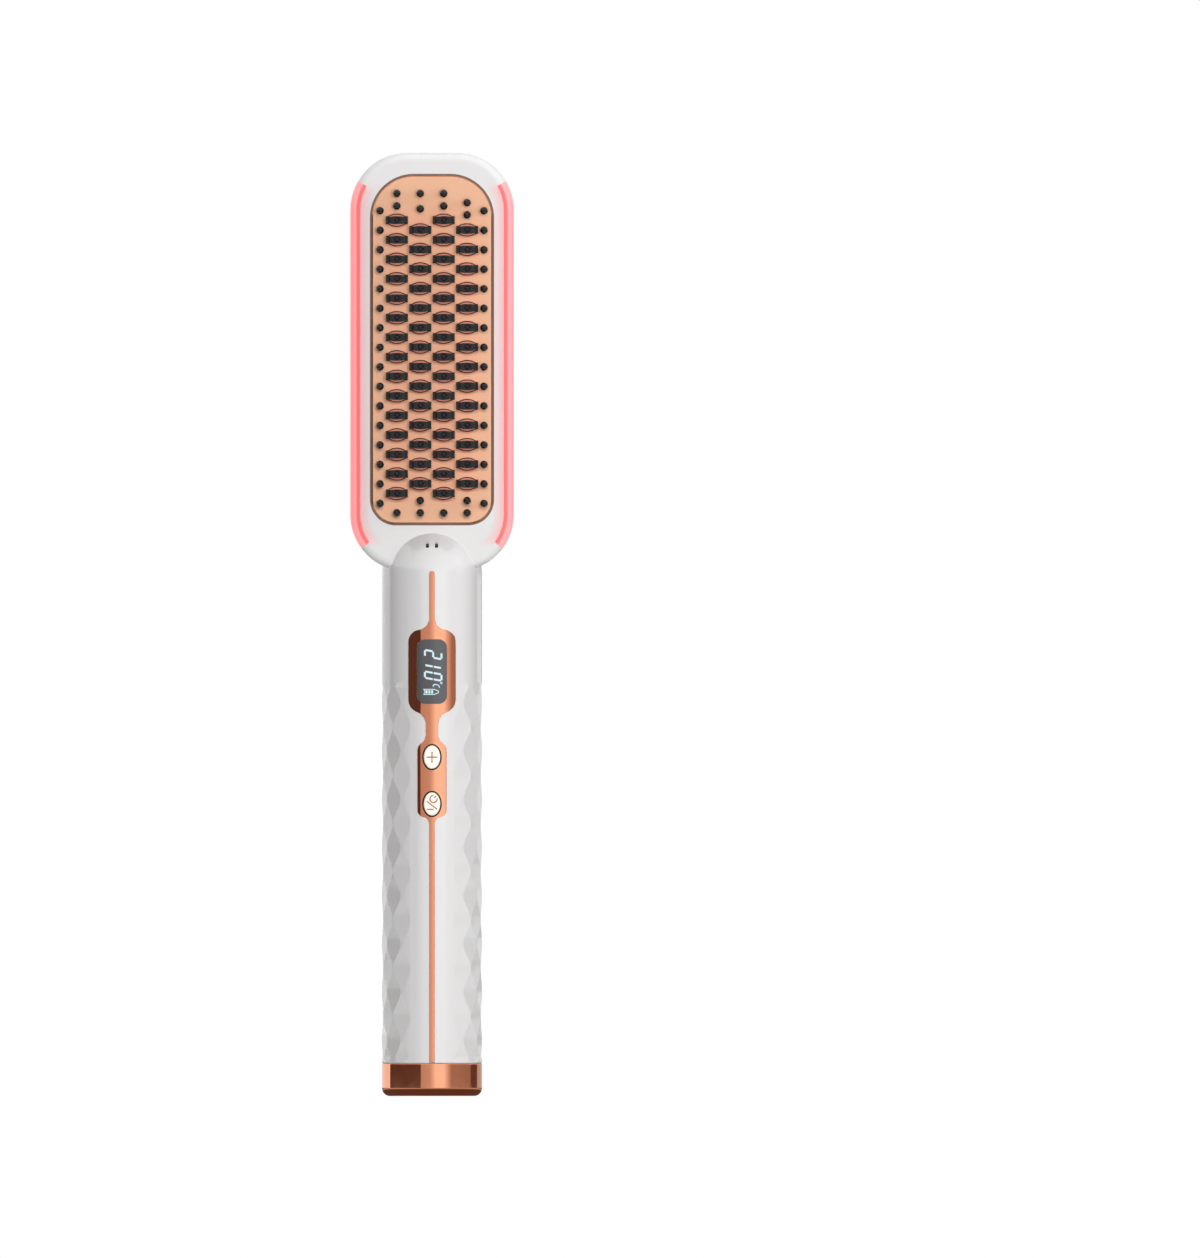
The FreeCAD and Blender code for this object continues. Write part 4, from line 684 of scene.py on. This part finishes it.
def power_sign(arm, half):
    """A leaning power sign, a ring that is open round its stem, with a slanted and a level stroke.

    Places are shares of the plus sign's arm.
    """
    ring = 0.67 * arm
    centre = np.array((0.29, 0.93)) * arm
    lean, opening = math.radians(50), math.radians(42)
    stem = np.array((math.cos(lean), math.sin(lean))) * ring
    ends = (
        (centre + 0.35 * stem, centre + 1.15 * stem),
        ((-1.0 * arm, 0.52 * arm), (0.96 * arm, -0.99 * arm)),
        ((-0.93 * arm, -1.0 * arm), (0.3 * arm, -1.02 * arm)),
    )
    opened = stroke(arc(centre, ring, lean + opening, lean + math.tau - opening, 33), half)
    return [opened] + [stroke(run(start, end, arm), half) for start, end in ends]


# Trim of the comb


def points_of(node):
    """All points of a CAD node's mesh, one row each."""
    mesh = frame["nodes"][node].data
    points = np.empty(3 * len(mesh.vertices))
    mesh.vertices.foreach_get("co", points)
    return points.reshape(-1, 3)


def tooth_middles():
    """The middle of every tooth, which is the foremost point of its tip."""
    tips = points_of("tooth_tips")
    return tips[tips[:, 1] < tips[:, 1].min() + 1e-7]


def tooth_half(node):
    """Half the width and height of a tooth's piece, from the outermost teeth to its node's box."""
    middles = tooth_middles()
    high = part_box(node)[1]
    return high.x - middles[:, 0].max(), high.z - middles[:, 2].max()


def at_teeth(grids):
    """Copies of some grids round the middle of every tooth, at their own depth."""
    return [grid + middle * (1.0, 0.0, 1.0) for middle in tooth_middles() for grid in grids]


def plate_outline(lower, upper, offset):
    """The heating plate's outline moved out by an offset: an arc at each corner, straight between."""
    low, high = PLATE_BOX
    corners = (
        ((high.x - lower, low.z + lower), lower),
        ((high.x - upper, high.z - upper), upper),
        ((low.x + upper, high.z - upper), upper),
        ((low.x + lower, low.z + lower), lower),
    )
    quarter = math.pi / 2
    arcs = []
    for place, (centre, radius) in enumerate(corners):
        arcs.append(arc(centre, radius + offset, (place - 1) * quarter, place * quarter, 17))
    return np.concatenate(arcs)


def rims(width, overlap, height):
    """A dark bead of painted shade round the front edge of every fin, as one grid for each fin.

    From the fin's middle a point is half an axis times the cosine and half the other times the sine of
    its turn. The axes are those of the fin's oval less an inset that is least at the bead's outer edge,
    and the bead's profile goes from that edge by its root and its inner edge to its crest.
    """
    half_x, half_z = tooth_half("heating_fins")
    turn = np.linspace(0, math.tau, 29)[:, None]
    inset = overlap - width * np.array((1.0, 0.5, 0.0, 0.5, 1.0))
    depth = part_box("heating_fins")[0].y + height * np.array((0.0, 0.5, 0.0, -1.0, 0.0))
    ring = np.broadcast_arrays((half_x - inset) * np.cos(turn), depth, (half_z - inset) * np.sin(turn))
    return at_teeth([np.stack(ring, axis=-1)])


def tip_caps(rise, tab, lip, gap):
    """A moulded cap on the front of every tip, as a barrel open round the tip's nub and two tabs.

    The barrel's rings go from a circle round the nub, the lip, by shares of the way to its outline, a
    rectangle with bowed long sides: half its breadth is the tip's times the root of a share that falls
    with the square of the way along. A tab is a block along and across the tip, as high at each point as
    the lower of a profile along and one across it. Heights are shares of the rise, from the pins' front.
    """
    half, breadth = tooth_half("tooth_tips")
    front = points_of("guard_pins")[:, 1].min()
    barrel = half - tab

    turn = np.linspace(0, math.tau, 33)
    circle = np.stack((np.cos(turn), np.sin(turn)), axis=-1)
    square = circle / np.abs(circle).max(axis=1, keepdims=True)
    middle_share, fall_share = 0.92, 0.29
    sides = breadth * np.sqrt(middle_share - fall_share * square[:, 0] ** 2)
    outline = square * np.stack((np.full_like(turn, barrel), sides), axis=-1)
    way = np.array((0.0, 0.0, 0.15, 0.7, 0.92, 1.0))[:, None]
    heights = np.array((-0.15, 0.75, 1.0, 1.0, 0.75, -0.3))
    rings = lip * circle[:, None] + way * (outline - lip * circle)[:, None]
    ring_depths = np.broadcast_to(front - rise * heights, rings.shape[:2])
    grids = [np.stack((rings[..., 0], ring_depths, rings[..., 1]), axis=-1)]

    along = barrel + gap + np.array((0.0, 0.15, 0.85, 1.0)) * (tab - gap)
    across = breadth * np.array((1.0, 0.93, 0.6, -0.6, -0.93, -1.0))
    tall = np.minimum.outer((-0.2, 0.8, 0.8, -0.2), (-0.2, 0.65, 0.8, 0.8, 0.65, -0.2))
    for stations in (along, -along[::-1]):
        grids.append(np.stack(np.broadcast_arrays(stations[:, None], front - rise * tall, across), axis=-1))
    return at_teeth(grids)


# Meshes and pieces


def mesh_of(name, grids):
    """A mesh of several grids of points, each joined to quads by its rows and columns."""
    points, faces, start = [], [], 0
    for grid in grids:
        rows, columns = grid.shape[:2]
        corner = start + np.arange(rows - 1)[:, None] * columns + np.arange(columns - 1)
        quads = np.stack((corner, corner + 1, corner + columns + 1, corner + columns), axis=-1)
        points.append(grid.reshape(-1, 3))
        faces.append(quads.reshape(-1, 4))
        start += rows * columns
    mesh = bpy.data.meshes.new(name)
    mesh.from_pydata(np.concatenate(points).tolist(), [], np.concatenate(faces).tolist())
    return mesh


def show(mesh, material):
    """Links a mesh to the scene as an object at the origin, with one material."""
    thing = bpy.data.objects.new(mesh.name, mesh)
    mesh.materials.append(material)
    bpy.context.scene.collection.objects.link(thing)
    return thing


def piece(name, grids, material, body):
    """A piece of grids joined at their seams, that rides a body of the frame and has a colour slot."""
    mesh = mesh_of(name, grids)
    shape = bmesh.new()
    shape.from_mesh(mesh)
    bmesh.ops.remove_doubles(shape, verts=shape.verts, dist=1e-7)
    shape.to_mesh(mesh)
    shape.free()
    thing = show(mesh, material)
    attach(thing, body)
    return thing


def printed(name, grids, thickness, material, body):
    """A thin raised print, light or seal on a surface: flat strokes given a thickness."""
    thing = piece(name, grids, material, body)
    solid = thing.modifiers.new("thickness", "SOLIDIFY")
    solid.thickness = thickness
    solid.offset = -1.0


def paint(material, *nodes):
    """Gives CAD nodes a finish."""
    for name in nodes:
        mesh = frame["nodes"][name].data
        mesh.materials.clear()
        mesh.materials.append(material)


# Operators, one for each group of like pieces


def look(context):
    """The sizes and colours that the user set on the scene."""
    return context.scene.brush_sizes, context.scene.brush_colours


class HAIR_BRUSH_OT_shell(bpy.types.Operator):
    """Finish the white housings and the rear panel"""

    bl_idname = "hair_brush.shell"
    bl_label = "White shell"

    def execute(self, context):
        paint(moulded_abs(*look(context)), "front_housing", "rear_housing", "rear_panel")
        return {"FINISHED"}


class HAIR_BRUSH_OT_plating(bpy.types.Operator):
    """Finish the front trim, the rear frame and the end cap"""

    bl_idname = "hair_brush.plating"
    bl_label = "Rose-gold trim"

    def execute(self, context):
        paint(rose_gold_plating(*look(context)), "front_trim", "rear_trim_frame", "end_cap")
        return {"FINISHED"}


class HAIR_BRUSH_OT_comb(bpy.types.Operator):
    """Finish the heating plate, fins, tips and pins, and add the plate's joint, the rims and the caps"""

    bl_idname = "hair_brush.comb"
    bl_label = "Heated comb"

    def execute(self, context):
        sizes, colours = look(context)
        nylon = filled_nylon(sizes, colours)
        paint(coated_plate(sizes, colours), "heating_plate")
        paint(coated_fins(sizes, colours), "heating_fins")
        paint(nylon, "tooth_tips", "guard_pins")
        # Painted shade: a dark joint laid in the gap round the plate, where that gap is in shadow
        half = sizes.joint_width / 2
        path = plate_outline(sizes.plate_lower, sizes.plate_upper, half)
        face = PLATE_BOX[0].y + sizes.plate_edge - sizes.ink_height
        joint = on_flat([stroke(path, half, closed=True)], face)
        silicone = painted_gap_shade_joint(sizes, colours)
        printed("plate_joint", joint, 2 * sizes.ink_height, silicone, "brush")
        # The rims are dark beads of painted shade round the fins' front edges
        grids = rims(sizes.rim_width, sizes.rim_overlap, sizes.rim_height)
        piece("fin_rims", grids, painted_shade_rim(sizes, colours), "brush")
        grids = tip_caps(sizes.tip_rise, sizes.tip_tab, sizes.tip_lip, sizes.tip_gap)
        piece("tip_caps", grids, nylon, "brush")
        return {"FINISHED"}


class HAIR_BRUSH_OT_lights(bpy.types.Operator):
    """Finish the light strips and the lamps behind them"""

    bl_idname = "hair_brush.lights"
    bl_label = "Light strips"

    def execute(self, context):
        paint(lit_diffuser(*look(context)), "light_strip_left", "light_strip_right")
        paint(lamp_epoxy(*look(context)), "leds_left", "leds_right")
        return {"FINISHED"}


class HAIR_BRUSH_OT_display(bpy.types.Operator):
    """Finish the display's window and light its digits, unit and battery sign"""

    bl_idname = "hair_brush.display"
    bl_label = "Display"

    def execute(self, context):
        sizes, colours = look(context)
        paint(smoked_lens(sizes, colours), "display_lens")
        light = lit_segments(sizes, colours)
        radius = -LENS_BOX[0].y + sizes.ink_height
        signs = {"digits": temperature_sign, "unit": unit_sign, "battery_sign": battery_sign}
        for name, sign in signs.items():
            grids = on_round(sign(sizes), radius)
            printed(f"display_{name}", grids, 2 * sizes.ink_height, light, "brush")
        return {"FINISHED"}


class HAIR_BRUSH_OT_buttons(bpy.types.Operator):
    """Finish the two buttons, print their signs and put round each a dark seal that paints the shade of its
    gap
    """

    bl_idname = "hair_brush.buttons"
    bl_label = "Buttons"

    def execute(self, context):
        sizes, colours = look(context)
        paint(cream_abs(sizes, colours), "plus_button", "power_button")
        ink = copper_ink(sizes, colours)
        # Painted shade: a dark seal in the gap round each button
        gap_shade = painted_gap_shade_seal(sizes, colours)
        radius = -LENS_BOX[0].y + sizes.ink_height
        seal_middle = sizes.seal_inset + sizes.seal_width / 2
        reach = np.array((sizes.button_half_width, sizes.button_half_height)) + seal_middle
        for name, sign in (("plus", plus_sign), ("power", power_sign)):
            low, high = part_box(f"{name}_button")
            centre = np.array(((low.x + high.x) / 2, (low.z + high.z) / 2))
            grids = [grid + centre for grid in sign(sizes.sign_arm, sizes.sign_width / 2)]
            grids = on_flat(grids, low.y - sizes.ink_height)
            printed(f"{name}_sign", grids, 2 * sizes.ink_height, ink, f"{name}_button")
            oval = arc(centre, reach, 0.0, math.tau, 49)[:-1]
            seal = on_round([stroke(oval, sizes.seal_width / 2, closed=True)], radius)
            printed(f"{name}_seal", seal, sizes.seal_depth, gap_shade, "brush")
        return {"FINISHED"}


class HAIR_BRUSH_OT_insides(bpy.types.Operator):
    """Finish the charging port and everything inside the housings"""

    bl_idname = "hair_brush.insides"
    bl_label = "Port and insides"

    def execute(self, context):
        own = look(context)
        steel = plated_steel(*own)
        paint(steel, "charge_port_shell", "heater_straps", "thermal_fuse")
        paint(steel, "plate_screws", "housing_screws", "board_screws")
        paint(drawn_tungsten(*own), "ion_needles")
        paint(masked_board(*own), "charge_board", "led_board_left", "led_board_right", "main_board")
        black = bpy.data.materials.get("black_filled_nylon") or filled_nylon(*own)
        paint(black, "charge_port_tongue", "display_module", "plus_switch", "power_switch")
        paint(fired_alumina(*own), "ceramic_heater")
        paint(bonded_mica(*own), "mica_sheet")
        paint(sensor_glass(*own), "temperature_sensor")
        paint(grey_acetal(*own), "plus_plunger", "power_plunger", "battery_cradle")
        paint(shrink_wrap(*own), "battery_cell_lower", "battery_cell_upper")
        paint(potting_resin(*own), "ion_generator")
        paint(silicone_lead(*own), "heater_leads")
        return {"FINISHED"}


# Studio


def card(name, grid, lights, powers):
    """A glowing card of the studio, seen only in reflections, with a light for each point of its grid.

    Red, green and blue are that light to one power each, so powers above one make dim light warm.
    """
    mesh = mesh_of(name, [grid])
    shades = np.ones((*grid.shape[:2], 4), np.float32)
    shades[..., :3] = lights[..., None] ** powers
    layer = mesh.attributes.new("shade", "FLOAT_COLOR", "POINT")
    layer.data.foreach_set("color", shades.ravel())
    material = bpy.data.materials.new(name + "_paint")
    tree = empty_tree(material)
    shade = add_node(tree, "Attribute", attribute_name="shade")
    glow = add_node(tree, "Emission", links={"Color": shade.outputs["Color"]})
    add_node(tree, "OutputMaterial", links={"Surface": glow.outputs[0]})
    thing = show(mesh, material)
    for ray in ("camera", "diffuse", "shadow", "transmission", "volume_scatter"):
        setattr(thing, f"visible_{ray}", False)
    return thing


def reflection_wall(radius):
    """A round wall, higher than the brush: a soft box on the right between dark flags, pale behind.

    A point is the radius times the sine and minus the cosine of its bearing. Its light runs straight
    between the bearings of the wall's lights. A patch behind on the right is brighter at the handle's
    height than at the cap's and the head's.
    """
    bearings, lights = zip(*WALL_LIGHTS)
    back_start, patch_end, patch_light = 127, 156, 0.95
    patch_low, patch_high = 0.03, 0.161
    heights = np.array((0.0, patch_low, 0.031, 0.16, patch_high, 0.33))
    turn = np.linspace(bearings[0], bearings[-1], 721)[:, None]
    angle = np.radians(turn)
    grid = np.stack(np.broadcast_arrays(radius * np.sin(angle), -radius * np.cos(angle), heights), axis=-1)
    beside = (turn > back_start) & (turn < patch_end) & (heights > patch_low) & (heights < patch_high)
    shades = np.where(beside, patch_light, np.interp(turn, bearings, lights))
    powers = np.where(np.abs(turn)[..., None] > back_start, 1.0, WARM)
    return card("reflection_wall", grid, shades, powers)


def floor_card(height):
    """A dark card under the brush with a paler ring: rings of points, each on a circle.

    From low down a wall mirrors the outer part, from higher up the ring, and the cap's round the middle.
    """
    angle = np.linspace(0, math.tau, 65)
    reach, lights = np.array(FLOOR_LIGHTS).T[..., None]
    axes = np.broadcast_arrays(reach * np.cos(angle), reach * np.sin(angle), height)
    return card("floor_card", np.stack(axes, axis=-1), np.broadcast_to(lights, axes[0].shape), WARM)


def back_card(height):
    """A dim flat card behind the brush, one face: the rear frame's upper bar mirrors it."""
    corners = np.array((((-0.15, 0.4), (0.15, 0.4)), ((-0.25, 0.76), (0.25, 0.76))))
    return card("back_card", np.insert(corners, 2, height, axis=-1), np.full((2, 2), 0.3), WARM)


def studio_floor(colours, half):
    """A level square of floor, as a grid of points, pale and matt, that fades to white far out.

    It throws little light back up, as a floor further down would, so undersides are shaded.
    """
    line = np.linspace(-half, half, 9)
    grid = np.stack(np.broadcast_arrays(line[:, None], line, 0.0), axis=-1)
    material = bpy.data.materials.new("painted_studio_floor")
    tree = empty_tree(material)
    path = add_node(tree, "LightPath").outputs
    tones = {6: tuple(colours.floor), 7: (0.2, 0.2, 0.2, 1.0)}
    bounce = add_node(tree, "Mix", tones, {0: path["Is Diffuse Ray"]}, data_type="RGBA")
    matt = add_node(tree, "BsdfDiffuse", links={"Color": bounce.outputs[2]})
    white = add_node(tree, "Emission", {"Strength": 1.0})
    place = add_node(tree, "TexCoord").outputs["Object"]
    distance = add_node(tree, "VectorMath", links={0: place}, operation="LENGTH").outputs["Value"]
    fade = {"From Min": 0.12, "From Max": 0.5}
    share = add_node(tree, "MapRange", fade, {"Value": distance}, interpolation_type="SMOOTHERSTEP")
    both = {0: share.outputs[0], 1: path["Is Camera Ray"]}
    seen = add_node(tree, "Math", links=both, operation="MULTIPLY").outputs[0]
    mixed = add_node(tree, "MixShader", links={0: seen, 1: matt.outputs[0], 2: white.outputs[0]})
    add_node(tree, "OutputMaterial", links={"Surface": mixed.outputs[0]})
    return show(mesh_of("floor", [grid]), material)


def studio_world(light):
    """White all round to the camera, in reflections and through glass, and a dimmer light on the brush."""
    world = bpy.data.worlds.new("studio")
    tree = empty_tree(world)
    path = add_node(tree, "LightPath").outputs
    seen = path["Is Camera Ray"]
    for ray in ("Is Glossy Ray", "Is Transmission Ray"):
        seen = add_node(tree, "Math", links={0: seen, 1: path[ray]}, operation="MAXIMUM").outputs[0]
    strength = add_node(tree, "MapRange", {"To Min": light, "To Max": 1.0}, {"Value": seen})
    links = {"Strength": strength.outputs[0]}
    sky = add_node(tree, "Background", {"Color": (1.0, 1.0, 1.0, 1.0)}, links)
    add_node(tree, "OutputWorld", links={"Surface": sky.outputs[0]})
    bpy.context.scene.world = world


def studio_lamp(name, power, size, bearing, height, distance, target):
    """A soft rectangular lamp at a bearing from the camera, a height and a distance, aimed at a height."""
    data = bpy.data.lights.new(name, "AREA")
    data.shape = "RECTANGLE"
    data.size, data.size_y = size
    data.energy = power
    lamp = bpy.data.objects.new(name, data)
    turn = math.radians(bearing)
    lamp.location = (distance * math.sin(turn), -distance * math.cos(turn), height)
    lamp.rotation_euler = (math.pi / 2 - math.atan2(height - target, distance), 0.0, turn)
    lamp.visible_glossy = False
    lamp.visible_camera = False
    bpy.context.scene.collection.objects.link(lamp)


def studio_camera(sizes, distance):
    """A level camera without perspective in front of the brush, which stands left of the picture's middle."""
    data = bpy.data.cameras.new("camera")
    data.type = "ORTHO"
    data.ortho_scale = sizes.picture_height
    camera = bpy.data.objects.new("camera", data)
    camera.location = (sizes.axis_left, -distance, sizes.picture_middle)
    camera.rotation_euler = (math.pi / 2, 0.0, 0.0)
    bpy.context.scene.collection.objects.link(camera)
    bpy.context.scene.camera = camera


class HAIR_BRUSH_OT_stage(bpy.types.Operator):
    """Set up the floor, the light and the camera"""

    bl_idname = "hair_brush.stage"
    bl_label = "Studio stage"

    def execute(self, context):
        sizes, colours = look(context)
        card_height = 0.0002
        studio_floor(colours, half=3.0)
        reflection_wall(radius=0.8)
        floor_card(card_height)
        back_card(card_height)
        studio_world(light=0.01)
        for name, settings in LAMPS.items():
            studio_lamp(name, *settings)
        studio_camera(sizes, distance=1.0)
        context.scene.view_settings.view_transform = "Standard"
        return {"FINISHED"}


class HAIR_BRUSH_PT_parts(bpy.types.Panel):
    """Lists the brush's pieces, sizes and colours"""

    bl_idname = "HAIR_BRUSH_PT_parts"
    bl_label = "Hair Straightening Brush"
    bl_space_type = "VIEW_3D"
    bl_region_type = "UI"
    bl_category = "Brush"

    def draw(self, context):
        layout = self.layout
        for operator in OPERATORS:
            layout.operator(operator.bl_idname)
        for group in look(context):
            box = layout.box()
            for name in type(group).__annotations__:
                box.prop(group, name)


OPERATORS = (
    HAIR_BRUSH_OT_shell,
    HAIR_BRUSH_OT_plating,
    HAIR_BRUSH_OT_comb,
    HAIR_BRUSH_OT_lights,
    HAIR_BRUSH_OT_display,
    HAIR_BRUSH_OT_buttons,
    HAIR_BRUSH_OT_insides,
    HAIR_BRUSH_OT_stage,
)
CLASSES = (BrushSizes, BrushColours, *OPERATORS, HAIR_BRUSH_PT_parts)


def register():
    """Registers the classes and puts the sizes and colours on the scene."""
    for item in CLASSES:
        bpy.utils.register_class(item)
    bpy.types.Scene.brush_sizes = PointerProperty(type=BrushSizes)
    bpy.types.Scene.brush_colours = PointerProperty(type=BrushColours)


def unregister():
    """Takes the sizes, colours and classes away again."""
    del bpy.types.Scene.brush_colours
    del bpy.types.Scene.brush_sizes
    for item in reversed(CLASSES):
        bpy.utils.unregister_class(item)


def main():
    """Builds the whole scene."""
    register()
    bpy.ops.hair_brush.shell()
    bpy.ops.hair_brush.plating()
    bpy.ops.hair_brush.comb()
    bpy.ops.hair_brush.lights()
    bpy.ops.hair_brush.display()
    bpy.ops.hair_brush.buttons()
    bpy.ops.hair_brush.insides()
    bpy.ops.hair_brush.stage()


if __name__ == "__main__":
    main()
